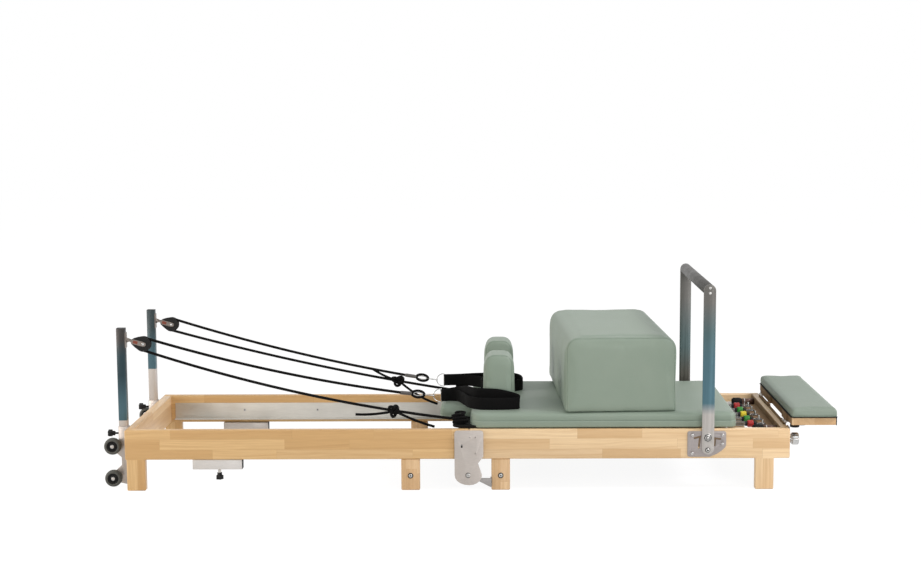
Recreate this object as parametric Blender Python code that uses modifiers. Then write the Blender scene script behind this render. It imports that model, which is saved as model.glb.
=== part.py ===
"""Folding pilates reformer: a low wooden frame in two halves, hinged underneath at the middle.

The drawing runs along X from the head end to the foot end. Y is across and is zero half way
between the rails, with the near rail at -Y. Z is up from the floor. Metres throughout.
Every moving group hangs on an empty that stands on its joint's axis.
"""

import math

import bmesh
import bpy
from mathutils import Matrix, Vector

# Gap between faces that touch or slide, and how deep joined pieces sink into each other
FIT = 0.0003
BITE = 0.0015

# Wooden frame
FRAME_LENGTH = 2.350
FRAME_WIDTH = 0.698
HEAD_HALF_SHARE = 0.5174468
RAIL_HEIGHT = 0.106
RAIL_THICKNESS = 0.030
END_BOARD_THICKNESS = 0.032
LEG_HEIGHT = 0.112
LEG_WIDTH = 0.066
HEAD_LEG_INSET = 0.005
FOOT_LEG_INSET = 0.056
HEAD_MID_LEG_FROM_SPLIT = 0.174
FOOT_MID_LEG_FROM_SPLIT = 0.079
WOOD_EDGE = 0.003
BEAM_HEIGHT = 0.045
BEAM_THICKNESS = 0.030
BEAM_CENTRE_HEIGHT = 0.053
BOLT_HEAD_RADIUS = 0.0068
BOLT_HEAD_HEIGHT = 0.0025

# Aluminium tracks on the rails' inner faces
TRACK_BOTTOM = 0.126
TRACK_HEIGHT = 0.063
TRACK_WALL = 0.003
TRACK_FLANGE = 0.022
TRACK_HEAD_START = 0.048
TRACK_FOOT_END_GAP = 0.060

# Fold hinge
FOLD_AXIS_HEIGHT = 0.055
HINGE_PLATE_WIDTH = 0.102
HINGE_PLATE_WALL = 0.003
HINGE_TOP_DROP = 0.002
HINGE_CORNER = 0.010
HINGE_LOBE_DEPTH = 0.036
HINGE_LOBE_REACH = 0.046
HINGE_NECK_ABOVE_AXIS = 0.043
HINGE_NECK_REACH = 0.032
HINGE_EYE_RADIUS = 0.030
HINGE_PIN_RADIUS = 0.005
HINGE_ARM_TOP = 0.044
HINGE_ARM_BOTTOM = 0.012
HINGE_ARM_FOOT = 0.020
HINGE_ARM_DROP = 0.0198
LOCK_HOLE_RADIUS = 0.0035
LOCK_HOLE_FROM_SPLIT = 0.0255
LOCK_HOLE_BELOW_TOP = 0.055
HINGE_SCREW_FROM_SPLIT = 0.024
HINGE_SCREWS_BELOW_TOP = (0.029, 0.082)
SCREW_HEAD_RADIUS = 0.0045
SCREW_HEAD_HEIGHT = 0.0012

# Transport wheels and their brackets on the head end board
WHEEL_RADIUS = 0.030
WHEEL_WIDTH = 0.027
WHEEL_RIM_RADIUS = 0.0195
WHEEL_HUB_RADIUS = 0.0130
WHEEL_RECESS = 0.003
WHEEL_FROM_BOARD = 0.057
WHEEL_HEIGHTS = (0.148, 0.0315)
AXLE_RADIUS = 0.004
BRACKET_WALL = 0.003
BRACKET_TOP = 0.178
BRACKET_BOTTOM = 0.006
BRACKET_FOOT_REACH = 0.012
BRACKET_WAIST_REACH = 0.030
BRACKET_WAIST_BELOW_TOP = (0.074, 0.102)
BRACKET_LOBE_RADIUS = 0.015
BRACKET_PLAY = 0.0015

# Pulley risers, their sleeves and star knobs
RISER_SIZE = 0.030
RISER_WALL = 0.002
RISER_CORNER = 0.003
RISER_FROM_BOARD = 0.023
RISER_INSET = 0.0986
RISER_TOP = 0.569
RISER_BOTTOM = 0.130
RISER_CAP_HEIGHT = 0.006
SLEEVE_WALL = 0.002
SLEEVE_TOP = 0.215
SLEEVE_BOTTOM = 0.122
STAR_RADIUS = 0.0135
STAR_LENGTH = 0.014
STAR_LOBES = 5
STAR_DEPTH = 0.0018
STAR_NECK_RADIUS = 0.0085
STAR_NECK_LENGTH = 0.010
STEM_RADIUS = 0.0035
THICK_STEM_RADIUS = 0.0056
RISER_KNOB_HEIGHT = 0.1885
RISER_KNOB_STAND_OFF = 0.015

# Pulley blocks
PADEYE_HEIGHT = 0.055
PADEYE_WIDTH = 0.024
PADEYE_WALL = 0.003
PADEYE_BELOW_TOP = 0.043
LUG_WALL = 0.004
LUG_RADIUS = 0.0065
LUG_ROOT_HALF = 0.0104
LUG_HOLE_FROM_PLATE = 0.008
BLOCK_PIN_RADIUS = 0.003
BLOCK_LENGTH = 0.055
BLOCK_TILT = math.radians(15)
BLOCK_HEAD_RADIUS = 0.0065
SHEAVE_WIDTH = 0.014
SHEAVE_FLANGE = 0.001
SHEAVE_FLANGE_DEPTH = 0.0045
CHEEK_WALL = 0.002
CHEEK_PLAY = 0.0012
CHEEK_RADIUS = 0.0225

# Ropes, braided cord
ROPE_RADIUS = 0.0045
ROPE_BEND_RADIUS = 0.0220
ROPE_SAG = {"near": (0.020, 0.029), "far": (0.016, 0.017)}
ROPE_EYE_FROM_STRAP = 0.072
ROPE_EYE_ABOVE_PAD = 0.030
ROPE_ABOVE_CLEAT_FOOT = 0.016
ROPE_TO_CLEAT = 0.028
ROPE_POINTS = 9

# Storage sockets for the risers, under the head rails
STORAGE_START = 0.238
STORAGE_LENGTH = 0.169
STORAGE_SIZE = 0.036
STORAGE_WALL = 0.002
STORAGE_INSET = 0.004
STORAGE_CAP = 0.006
STORAGE_KNOB_FROM_START = 0.092
STORAGE_KNOB_STAND_OFF = 0.014

# Carriage
CARRIAGE_BEFORE_SPLIT = 0.058
CARRIAGE_FROM_BOARD = 0.168
CARRIAGE_BOARD_THICKNESS = 0.008
CARRIAGE_BOARD_INSET = 0.020
CARRIAGE_BOARD_CORNER = 0.030
CARRIAGE_LIFT = 0.0025
PAD_FROM_BOARD_START = 0.060
PAD_OVER_BOARD_END = 0.010
PAD_INSET = 0.015
PAD_THICKNESS = 0.045
PAD_CORNERS = (0.045, 0.025)
PAD_EDGE = 0.006
RUNNER_WALL = 0.004
RUNNER_HEIGHT = 0.078
RUNNER_MARGIN = 0.020
ROLLER_RADIUS = 0.024
ROLLER_WIDTH = 0.015
ROLLER_PLAY = 0.001
ROLLERS_FROM_ENDS = (0.097, 0.065)
YOKE_SHARE = 0.42339
YOKE_WALL = 0.014
YOKE_HEIGHT = 0.036
CLEAT_FROM_START = 0.022
CLEAT_INSET = 0.070
CLEAT_LENGTH = 0.036
CLEAT_THICKNESS = 0.009
CLEAT_POST_RADIUS = 0.005
CLEAT_POST_HEIGHT = 0.009

# Headrest, shoulder rests and webbing straps
HEADREST_LENGTH = 0.157
HEADREST_WIDTH = 0.360
HEADREST_GAP = 0.0015
SHOULDER_GAP = 0.002
SHOULDER_FROM_PAD_START = 0.0505
SHOULDER_DEPTH = 0.108
SHOULDER_WIDTH = 0.128
SHOULDER_HEIGHT = 0.200
SHOULDER_SPACING = 0.338
SHOULDER_EDGE = 0.016
STRAP_WIDTH = 0.044
STRAP_THICKNESS = 0.0028
RING_RADIUS = 0.020
RING_WIRE_RADIUS = 0.0022
SNAP_LENGTH = 0.020
SNAP_RADIUS = 0.0045
# Each strap's loop, measured from the middle of its shoulder rest's head face: along X and Y
STRAP_LOOPS = {
    "near": ((-0.158, 0.059), (-0.100, 0.057), (-0.073, -0.008), (-0.052, -0.070), (-0.008, -0.108),
             (0.064, -0.094), (0.108, -0.062), (0.124, -0.016), (0.128, 0.034), (0.112, 0.072),
             (0.052, 0.082), (-0.028, 0.079), (-0.100, 0.070), (-0.158, 0.066)),
    "far": ((-0.158, 0.046), (-0.100, 0.050), (-0.050, 0.030), (-0.010, -0.010), (-0.012, -0.062),
            (0.022, -0.086), (0.070, -0.090), (0.118, -0.080), (0.142, -0.052), (0.144, -0.008),
            (0.134, 0.046), (0.106, 0.080), (0.040, 0.088), (-0.040, 0.080), (-0.100, 0.062),
            (-0.158, 0.054)),
}

# Sitting box, standing on the pad with its far end over the edge
BOX_DEPTH = 0.390
BOX_LENGTH = 0.760
BOX_HEIGHT = 0.270
BOX_EDGE = 0.028
BOX_ROOM_SHARE = 0.5549
BOX_INSET = 0.020
BOX_YAW = math.radians(2.4)

# Springs from the foot end board to the carriage
SPRING_SPACING = 0.084
SPRING_HEIGHT = 0.200
SPRING_RADIUS = 0.0085
GRIP_RADIUS = 0.0125
GRIP_LENGTH = 0.040
HOOK_RADIUS = 0.0115
HOOK_WIRE_RADIUS = 0.0022
HOOK_SHANK = 0.010
POST_FROM_BOARD = 0.036
POST_RADIUS = 0.004
POST_HEIGHT = 0.016
LEDGE_DEPTH = 0.048
LEDGE_THICKNESS = 0.020
LEDGE_MARGIN = 0.040
STOP_RADIUS = 0.012
STOP_LENGTH = 0.085
STOP_INSET = 0.092

# Foot bar and its gate plates
FOOT_BAR_FROM_END = 0.2914
FOOT_BAR_PIVOT_HEIGHT = 0.145
FOOT_BAR_TOP = 0.732
UPRIGHT_WIDTH = 0.0426
UPRIGHT_THICKNESS = 0.008
UPRIGHT_BELOW_PIVOT = 0.0165
CROSS_TUBE_RADIUS = 0.021
CROSS_TUBE_WALL = 0.0025
LOCK_PIN_ABOVE_PIVOT = 0.042
CRESCENT_RADIUS = 0.0105
CRESCENT_WIDTH = 0.0045
BAR_SCREW_RADIUS = 0.0050
BAR_SCREW_SPACING = 0.018
BAR_SCREW_HEIGHT = 0.004
GATE_WIDTH = 0.1365
GATE_HEIGHT = 0.092
GATE_BOTTOM = 0.119
GATE_HEAD_REACH = 0.0716
GATE_WALL = 0.003
GATE_CORNER = 0.008
GATE_PLAY = 0.0010
GATE_SLOT_WIDTH = 0.0070
GATE_HOLE_RADIUS = 0.0028
# The cut lower corner as shares of its size, and the two bent slots from the pivot
GATE_CUT = (0.058, 0.041)
GATE_CUT_SHAPE = ((0.0, 0.0), (0.42, 0.24), (0.72, 0.52), (0.93, 0.80), (1.0, 1.0))
GATE_SLOTS = (((-0.0466, 0.0410), (-0.0276, 0.0460), (-0.0316, 0.0065)),
              ((0.0444, 0.0375), (0.0256, 0.0400), (0.0240, 0.0140)))
GATE_HOLES = ((-0.0552, 0.0537), (0.0520, 0.0537), (-0.0562, -0.0120), (0.0513, 0.0221))

# Standing platform, hinged on the foot end board
PLATFORM_AXIS_INSET = 0.005
PLATFORM_AXIS_ABOVE_RAIL = 0.0085
PLATFORM_FROM_FRAME = 0.005
PLATFORM_DEPTH = 0.158
PLATFORM_INSET = 0.010
PLATFORM_ABOVE_RAIL = 0.0106
PLATFORM_BOARD_THICKNESS = 0.027
PLATFORM_PAD_THICKNESS = 0.034
PLATFORM_PAD_SETBACK = 0.003
PLATFORM_CORNER = 0.006
PLATFORM_HINGE_Y = 0.255
PLATFORM_HINGE_WIDTH = 0.050
PLATFORM_LEAF = 0.030
PLATFORM_LEAF_WALL = 0.0025
KNUCKLE_RADIUS = 0.0040
BUMPER_RADIUS = 0.0165
BUMPER_HEIGHT = 0.006
BUMPER_FROM_EDGE = 0.042
BUMPER_INSET = 0.040
STAY_WIDTH = 0.040
STAY_WALL = 0.004
STAY_HEIGHT = 0.098
STAY_BOTTOM = 0.120
STAY_INSET = 0.052
STAY_KNOB_HEIGHT = 0.172
STAY_KNOB_RADIUS = 0.0175
STAY_KNOB_LENGTH = 0.018
STAY_KNOB_FLUTES = 10
STAY_KNOB_STAND_OFF = 0.008

# Worked out from the sizes above
HALF_WIDTH = FRAME_WIDTH / 2
RAIL_INNER = HALF_WIDTH - RAIL_THICKNESS
RAIL_TOP = LEG_HEIGHT + RAIL_HEIGHT
SPLIT = FRAME_LENGTH * HEAD_HALF_SHARE
BOARD_X = FRAME_LENGTH - END_BOARD_THICKNESS
TRACK_OUTER = RAIL_INNER - FIT
TRACK_INNER = TRACK_OUTER - TRACK_WALL
RUNWAY = TRACK_BOTTOM + TRACK_WALL
HINGE_TOP = RAIL_TOP - HINGE_TOP_DROP
HINGE_INNER_Y = HALF_WIDTH + FIT
HINGE_OUTER_Y = HINGE_INNER_Y + HINGE_PLATE_WALL + FIT
RISER_Y = HALF_WIDTH - RISER_INSET
SLEEVE_HALF = RISER_SIZE / 2 + FIT + SLEEVE_WALL
BRACKET_Y = RISER_Y + SLEEVE_HALF - BITE
WHEEL_INNER_Y = BRACKET_Y + BRACKET_WALL + BRACKET_PLAY
WHEEL_Y = WHEEL_INNER_Y + WHEEL_WIDTH / 2
PADEYE_Z = RISER_TOP - PADEYE_BELOW_TOP
PADEYE_X = -RISER_FROM_BOARD + RISER_SIZE / 2 + PADEYE_WALL
PIN_X = PADEYE_X + LUG_HOLE_FROM_PLATE
SHEAVE_X = PIN_X + BLOCK_LENGTH * math.cos(BLOCK_TILT)
SHEAVE_Z = PADEYE_Z - BLOCK_LENGTH * math.sin(BLOCK_TILT)
CARRIAGE_START = SPLIT - CARRIAGE_BEFORE_SPLIT
CARRIAGE_END = BOARD_X - CARRIAGE_FROM_BOARD
DECK_BOTTOM = RAIL_TOP + CARRIAGE_LIFT
DECK_TOP = DECK_BOTTOM + CARRIAGE_BOARD_THICKNESS
PAD_BOTTOM = DECK_TOP + FIT
PAD_TOP = PAD_BOTTOM + PAD_THICKNESS
PAD_START = CARRIAGE_START + PAD_FROM_BOARD_START
PAD_END = CARRIAGE_END + PAD_OVER_BOARD_END
SHOULDER_X = PAD_START + SHOULDER_FROM_PAD_START
HEADREST_END = SHOULDER_X - SHOULDER_GAP - HEADREST_GAP
ROLLER_XS = (CARRIAGE_START + ROLLERS_FROM_ENDS[0], CARRIAGE_END - ROLLERS_FROM_ENDS[1])
ROLLER_OUTER_Y = TRACK_INNER - ROLLER_PLAY
ROLLER_Y = ROLLER_OUTER_Y - ROLLER_WIDTH / 2
ROLLER_Z = RUNWAY + FIT + ROLLER_RADIUS
RUNNER_Y = TRACK_OUTER - TRACK_FLANGE - ROLLER_PLAY
CLEAT_X = CARRIAGE_START + CLEAT_FROM_START
CLEAT_Y = HALF_WIDTH - CLEAT_INSET
BOX_Y = -HALF_WIDTH + BOX_INSET
POST_X = BOARD_X - POST_FROM_BOARD
HOOK_X = POST_X - (HOOK_RADIUS - HOOK_WIRE_RADIUS - POST_RADIUS - FIT)
GRIP_END = HOOK_X - HOOK_RADIUS - HOOK_SHANK
YOKE_X = CARRIAGE_START + (CARRIAGE_END - CARRIAGE_START) * YOKE_SHARE
SPRING_YS = tuple(SPRING_SPACING * (i - 2) for i in range(5))
FOOT_BAR_X = FRAME_LENGTH - FOOT_BAR_FROM_END
SHOULDER_END = SHOULDER_X + SHOULDER_DEPTH
BOX_X = SHOULDER_END + (FOOT_BAR_X - SHOULDER_END) * BOX_ROOM_SHARE - BOX_DEPTH / 2
GATE_Y = HALF_WIDTH + FIT
UPRIGHT_Y = GATE_Y + GATE_WALL + GATE_PLAY
CROSS_TUBE_Z = FOOT_BAR_TOP - UPRIGHT_WIDTH / 2
PLATFORM_AXIS_X = FRAME_LENGTH - PLATFORM_AXIS_INSET
PLATFORM_AXIS_Z = RAIL_TOP + PLATFORM_AXIS_ABOVE_RAIL
PLATFORM_X = FRAME_LENGTH + PLATFORM_FROM_FRAME
PLATFORM_Z = RAIL_TOP + PLATFORM_ABOVE_RAIL
SIDES = (("near", -1), ("far", 1))

# The origin is on the floor under the middle of the fold, half way across the widest pieces
BOX_FAR_REACH = BOX_Y + BOX_LENGTH * math.cos(BOX_YAW) + BOX_DEPTH * math.sin(BOX_YAW)
BAR_REACH = UPRIGHT_Y + UPRIGHT_THICKNESS + BAR_SCREW_HEIGHT
ORIGIN = Vector((SPLIT, (BOX_FAR_REACH - BAR_REACH) / 2, 0))

for left_over in list(bpy.data.objects):
    bpy.data.objects.remove(left_over, do_unlink=True)
PARTS = bpy.data.collections.new("folding_pilates_reformer")
TOOLS = bpy.data.collections.new("cutters_and_joined_pieces")
for collection in (PARTS, TOOLS):
    bpy.context.scene.collection.children.link(collection)
PLACES = {}


def new_material(name, colour, roughness, metallic=0.0):
    """A Principled material in one colour."""
    made = bpy.data.materials.new(name)
    made.use_nodes = True
    shader = made.node_tree.nodes["Principled BSDF"]
    shader.inputs["Base Color"].default_value = (*colour, 1)
    shader.inputs["Roughness"].default_value = roughness
    shader.inputs["Metallic"].default_value = metallic
    made.diffuse_color = (*colour, 1)
    return made


WOOD = new_material("pale_hardwood", (0.66, 0.45, 0.23), 0.45)
STEEL = new_material("satin_steel", (0.52, 0.50, 0.47), 0.35, 0.8)
CHROME = new_material("chrome", (0.60, 0.60, 0.60), 0.15, 1.0)
ALUMINIUM = new_material("aluminium", (0.55, 0.55, 0.50), 0.35, 0.9)
VINYL = new_material("sage_vinyl", (0.27, 0.33, 0.27), 0.5)
PLASTIC = new_material("black_plastic", (0.02, 0.02, 0.02), 0.5)
TYRE = new_material("grey_tyre", (0.09, 0.09, 0.08), 0.7)
WEBBING = new_material("black_webbing", (0.012, 0.012, 0.013), 0.8)
ROPE = new_material("black_rope", (0.015, 0.015, 0.015), 0.75)
DECK = new_material("black_board", (0.03, 0.028, 0.026), 0.6)
GRIPS = (
    new_material("red_grip", (0.70, 0.04, 0.03), 0.4),
    new_material("green_grip", (0.04, 0.35, 0.07), 0.4),
    new_material("yellow_grip", (0.80, 0.62, 0.02), 0.4),
)


def body(name, place, parent=None):
    """An empty on a joint's axis, which the pieces of one moving group hang on."""
    empty = bpy.data.objects.new(name, None)
    PARTS.objects.link(empty)
    PLACES[name] = Vector(place)
    if parent is not None:
        empty.parent = parent
        empty.location = PLACES[name] - PLACES[parent.name]
    return empty


def add(name, mesh, place, owner, material):
    """An object for a mesh whose own zero is at a place in the drawing; no material makes it a tool."""
    made = bpy.data.objects.new(name, mesh)
    made.parent = owner
    made.location = Vector(place) - PLACES[owner.name]
    if material is None:
        TOOLS.objects.link(made)
        made.hide_render = True
        made.display_type = "WIRE"
    else:
        PARTS.objects.link(made)
        made.data.materials.append(material)
    return made


def mesh_of(shape, name):
    """A bmesh as mesh data, with its round faces shaded smooth."""
    bmesh.ops.recalc_face_normals(shape, faces=shape.faces)
    data = bpy.data.meshes.new(name)
    shape.to_mesh(data)
    shape.free()
    data.shade_smooth()
    data.set_sharp_from_angle(angle=math.radians(35))
    return data


def soften(made, edge, turns=1):
    """Rounds the edges that turn by more than 40 degrees."""
    bevel = made.modifiers.new("rounded edges", "BEVEL")
    bevel.width = edge
    bevel.segments = turns
    bevel.limit_method = "ANGLE"
    bevel.angle_limit = math.radians(40)
    return made


def block(name, xs, ys, zs, owner, material=None, edge=0.0, turns=1):
    """A box between two numbers on each axis, with its edges rounded."""
    low = Vector((min(xs), min(ys), min(zs)))
    high = Vector((max(xs), max(ys), max(zs)))
    shape = bmesh.new()
    bmesh.ops.create_cube(shape, size=1)
    bmesh.ops.scale(shape, vec=high - low, verts=shape.verts)
    made = add(name, mesh_of(shape, name), (low + high) / 2, owner, material)
    return soften(made, edge, turns) if edge else made


AXIS_TURN = {
    "X": Matrix.Rotation(math.radians(90), 4, "Y"),
    "Y": Matrix.Rotation(math.radians(-90), 4, "X"),
    "Z": Matrix.Identity(4),
}


def rod(name, start, length, radius, axis, owner, material=None, sides=12):
    """A round bar from a point along an axis, or against it if its length is below zero."""
    shape = bmesh.new()
    bmesh.ops.create_cone(
        shape, cap_ends=True, segments=sides, radius1=radius, radius2=radius, depth=abs(length)
    )
    bmesh.ops.translate(shape, vec=(0, 0, length / 2), verts=shape.verts)
    bmesh.ops.transform(shape, matrix=AXIS_TURN[axis], verts=shape.verts)
    return add(name, mesh_of(shape, name), start, owner, material)


def turned_ring(name, profile, place, axis, owner, material=None, steps=16):
    """A closed profile of (radius, along) points turned about an axis, its outside running down."""
    shape = bmesh.new()
    points = [shape.verts.new((radius, 0, along)) for radius, along in profile]
    for pair in zip(points, points[1:] + points[:1]):
        shape.edges.new(pair)
    data = bpy.data.meshes.new(name)
    shape.to_mesh(data)
    shape.free()
    made = add(name, data, place, owner, material)
    made.rotation_euler = AXIS_TURN[axis].to_euler()
    screw = made.modifiers.new("turned", "SCREW")
    screw.steps = steps
    screw.render_steps = steps
    screw.use_merge_vertices = True
    screw.merge_threshold = 0.00001
    screw.use_smooth_shade = True
    return made


def arc(centre, radius, start, end, turns=6):
    """Points along an arc, with its angles in degrees."""
    angles = [math.radians(start + (end - start) * i / turns) for i in range(turns + 1)]
    return [(centre[0] + radius * math.cos(a), centre[1] + radius * math.sin(a)) for a in angles]


def circle(centre, radius, turns=12):
    """The outline of a round hole."""
    return arc(centre, radius, 0, 360 - 360 / turns, turns - 1)


def rounded_rectangle(low, high, radii, turns=3):
    """An outline with a radius for each corner, against the clock from the low corner."""
    corners = ((low[0], low[1], 1, 1, 180), (high[0], low[1], -1, 1, 270),
               (high[0], high[1], -1, -1, 0), (low[0], high[1], 1, -1, 90))
    points = []
    for (x, y, inward_x, inward_y, start), radius in zip(corners, radii):
        centre = (x + inward_x * radius, y + inward_y * radius)
        points += arc(centre, radius, start, start + 90, turns)
    return points


def star(radius, lobes, depth, turns=4):
    """A round outline with shallow lobes."""
    count = lobes * turns
    angles = [math.tau * i / count for i in range(count)]
    reach = [radius - depth + depth * math.cos(lobes * a) for a in angles]
    return [(r * math.cos(a), r * math.sin(a)) for r, a in zip(reach, angles)]


def offset_path(path, distance, closed):
    """A path moved sideways, to its left for a distance above zero."""
    count = len(path)
    moved = []
    for i, point in enumerate(path):
        before = path[i - 1] if closed or i else point
        after = path[(i + 1) % count] if closed or i < count - 1 else point
        ahead = (Vector(after) - Vector(point)).normalized()
        behind = (Vector(point) - Vector(before)).normalized()
        along = (ahead + behind).normalized()
        bend = ahead if ahead.length else behind
        left = Vector((-along.y, along.x))
        share = max(left.dot(Vector((-bend.y, bend.x))), 0.5)
        moved.append(tuple(Vector(point) + left * distance / share))
    return moved


def slot(path, width, turns=3):
    """The outline of a slot of one width along a bent path."""
    left = offset_path(path, width / 2, False)
    right = offset_path(path, -width / 2, False)
    first = Vector(path[1]) - Vector(path[0])
    last = Vector(path[-1]) - Vector(path[-2])
    turn_in = math.degrees(math.atan2(first.y, first.x))
    turn_out = math.degrees(math.atan2(last.y, last.x))
    tail = arc(path[0], width / 2, turn_in + 90, turn_in + 270, turns)
    head = arc(path[-1], width / 2, turn_out - 90, turn_out + 90, turns)
    return tail + right[1:-1] + head + left[-2:0:-1]


# What an outline's two axes and its normal become for a plate across X, Y or Z
PLATE_TURN = {
    "X": Matrix(((0, 0, 1, 0), (1, 0, 0, 0), (0, 1, 0, 0), (0, 0, 0, 1))),
    "Y": Matrix.Rotation(math.radians(90), 4, "X"),
    "Z": Matrix.Identity(4),
}


def mesh_from_curve(curve):
    """A curve's evaluated mesh as a bmesh, with doubled points merged."""
    guide = bpy.data.objects.new("guide", curve)
    TOOLS.objects.link(guide)
    bpy.context.view_layer.update()
    graph = bpy.context.evaluated_depsgraph_get()
    data = bpy.data.meshes.new_from_object(guide.evaluated_get(graph))
    shape = bmesh.new()
    shape.from_mesh(data)
    bmesh.ops.remove_doubles(shape, verts=shape.verts, dist=0.00001)
    bpy.data.objects.remove(guide, do_unlink=True)
    bpy.data.meshes.remove(data)
    bpy.data.curves.remove(curve)
    return shape


def fill_spline(curve, points, closed):
    """Adds one straight-sided line of points to a curve."""
    spline = curve.splines.new("POLY")
    spline.points.add(len(points) - 1)
    for point, where in zip(spline.points, points):
        point.co = (*where, 0, 1) if len(where) == 2 else (*where, 1)
    spline.use_cyclic_u = closed


def plate(name, outlines, faces, normal, owner, material=None, place=(0, 0, 0)):
    """A flat plate between two faces along its normal; outlines after the first are holes.

    An outline's numbers are (x, y) for a normal of Z, (x, z) for Y and (y, z) for X.
    """
    curve = bpy.data.curves.new(name, "CURVE")
    curve.dimensions = "2D"
    curve.fill_mode = "BOTH"
    curve.extrude = abs(faces[1] - faces[0]) / 2
    for outline in outlines:
        fill_spline(curve, outline, True)
    shape = mesh_from_curve(curve)
    bmesh.ops.dissolve_limit(shape, angle_limit=0.001, verts=shape.verts, edges=shape.edges)
    middle = Vector((0, 0, 0))
    middle["XYZ".index(normal)] = (faces[0] + faces[1]) / 2
    bmesh.ops.transform(shape, matrix=PLATE_TURN[normal], verts=shape.verts)
    bmesh.ops.translate(shape, vec=middle, verts=shape.verts)
    return add(name, mesh_of(shape, name), place, owner, material)


def bent_bar(name, points, radius, owner, material=None, resolution=2, closed=False):
    """A round bar along points of the drawing."""
    curve = bpy.data.curves.new(name, "CURVE")
    curve.dimensions = "3D"
    curve.bevel_depth = radius
    curve.bevel_resolution = resolution
    curve.use_fill_caps = not closed
    fill_spline(curve, points, closed)
    return add(name, mesh_of(mesh_from_curve(curve), name), (0, 0, 0), owner, material)


def boolean(target, operation, others):
    """Changes a piece with hidden tools."""
    for other in others:
        step = target.modifiers.new(other.name, "BOOLEAN")
        step.operation = operation
        step.object = other
        step.solver = "EXACT"
    return target


def cut(target, *others):
    """Takes tools away from a piece."""
    return boolean(target, "DIFFERENCE", others)


def join(target, *others):
    """Adds tools to a piece, so that they are one solid."""
    return boolean(target, "UNION", others)


# Bodies
reformer = body("reformer", ORIGIN)
foot_frame = body("foot_frame", (SPLIT, 0, FOLD_AXIS_HEIGHT), reformer)
head_frame = body("head_frame", (SPLIT, 0, FOLD_AXIS_HEIGHT), foot_frame)
carriage = body("carriage", (CARRIAGE_START, 0, RUNWAY), foot_frame)
head_support = body("head_support", (HEADREST_END, 0, PAD_TOP), carriage)
box_on_pad = body("box_on_pad", (BOX_X, BOX_Y, PAD_TOP), carriage)
foot_bar = body("foot_bar", (FOOT_BAR_X, 0, FOOT_BAR_PIVOT_HEIGHT), foot_frame)
platform = body("platform", (PLATFORM_AXIS_X, 0, PLATFORM_AXIS_Z), foot_frame)
HALVES = (
    ("head", head_frame, 0, SPLIT - FIT),
    ("foot", foot_frame, SPLIT + FIT, FRAME_LENGTH),
)


def build_rails():
    """The four side rails, each with its end leg doweled and glued on, and their tracks."""
    leg_starts = {"head": HEAD_LEG_INSET, "foot": FRAME_LENGTH - FOOT_LEG_INSET - LEG_WIDTH}
    for half, owner, start, end in HALVES:
        for side_name, side in SIDES:
            ys = (side * RAIL_INNER, side * HALF_WIDTH)
            name = f"{half}_rail_{side_name}"
            rail = block(name, (start, end), ys, (LEG_HEIGHT, RAIL_TOP), owner, WOOD, WOOD_EDGE)
            leg_start = leg_starts[half]
            leg = block(
                name + "_leg", (leg_start, leg_start + LEG_WIDTH), ys, (0, LEG_HEIGHT + WOOD_EDGE * 4),
                owner, None, WOOD_EDGE
            )
            join(rail, leg)
            track_ends = (max(start, TRACK_HEAD_START), min(end, FRAME_LENGTH - TRACK_FOOT_END_GAP))
            flange = TRACK_OUTER - TRACK_FLANGE
            profile = (
                (side * TRACK_OUTER, TRACK_BOTTOM), (side * TRACK_OUTER, TRACK_BOTTOM + TRACK_HEIGHT),
                (side * TRACK_INNER, TRACK_BOTTOM + TRACK_HEIGHT), (side * TRACK_INNER, RUNWAY),
                (side * flange, RUNWAY), (side * flange, TRACK_BOTTOM),
            )
            plate(f"{half}_track_{side_name}", [profile], track_ends, "X", owner, ALUMINIUM)


def build_mid_legs():
    """The two pairs of middle legs, each tied by a cross beam bolted between them."""
    starts = {
        "head": SPLIT - HEAD_MID_LEG_FROM_SPLIT - LEG_WIDTH,
        "foot": SPLIT + FOOT_MID_LEG_FROM_SPLIT,
    }
    for half, owner, _, _ in HALVES:
        name = f"{half}_mid_leg_frame"
        start = starts[half]
        middle = start + LEG_WIDTH / 2
        reach = RAIL_INNER + WOOD_EDGE * 2
        beam = block(
            name, (middle - BEAM_THICKNESS / 2, middle + BEAM_THICKNESS / 2), (-reach, reach),
            (BEAM_CENTRE_HEIGHT - BEAM_HEIGHT / 2, BEAM_CENTRE_HEIGHT + BEAM_HEIGHT / 2), owner, WOOD
        )
        for side_name, side in SIDES:
            leg = block(
                f"{name}_{side_name}", (start, start + LEG_WIDTH), (side * RAIL_INNER, side * HALF_WIDTH),
                (0, LEG_HEIGHT - FIT), owner, None, WOOD_EDGE
            )
            bolt = rod(
                f"{name}_bolt_{side_name}", (middle, side * (HALF_WIDTH - BITE), BEAM_CENTRE_HEIGHT),
                side * (BOLT_HEAD_HEIGHT + BITE), BOLT_HEAD_RADIUS, "Y", owner
            )
            join(beam, leg, bolt)


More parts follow.
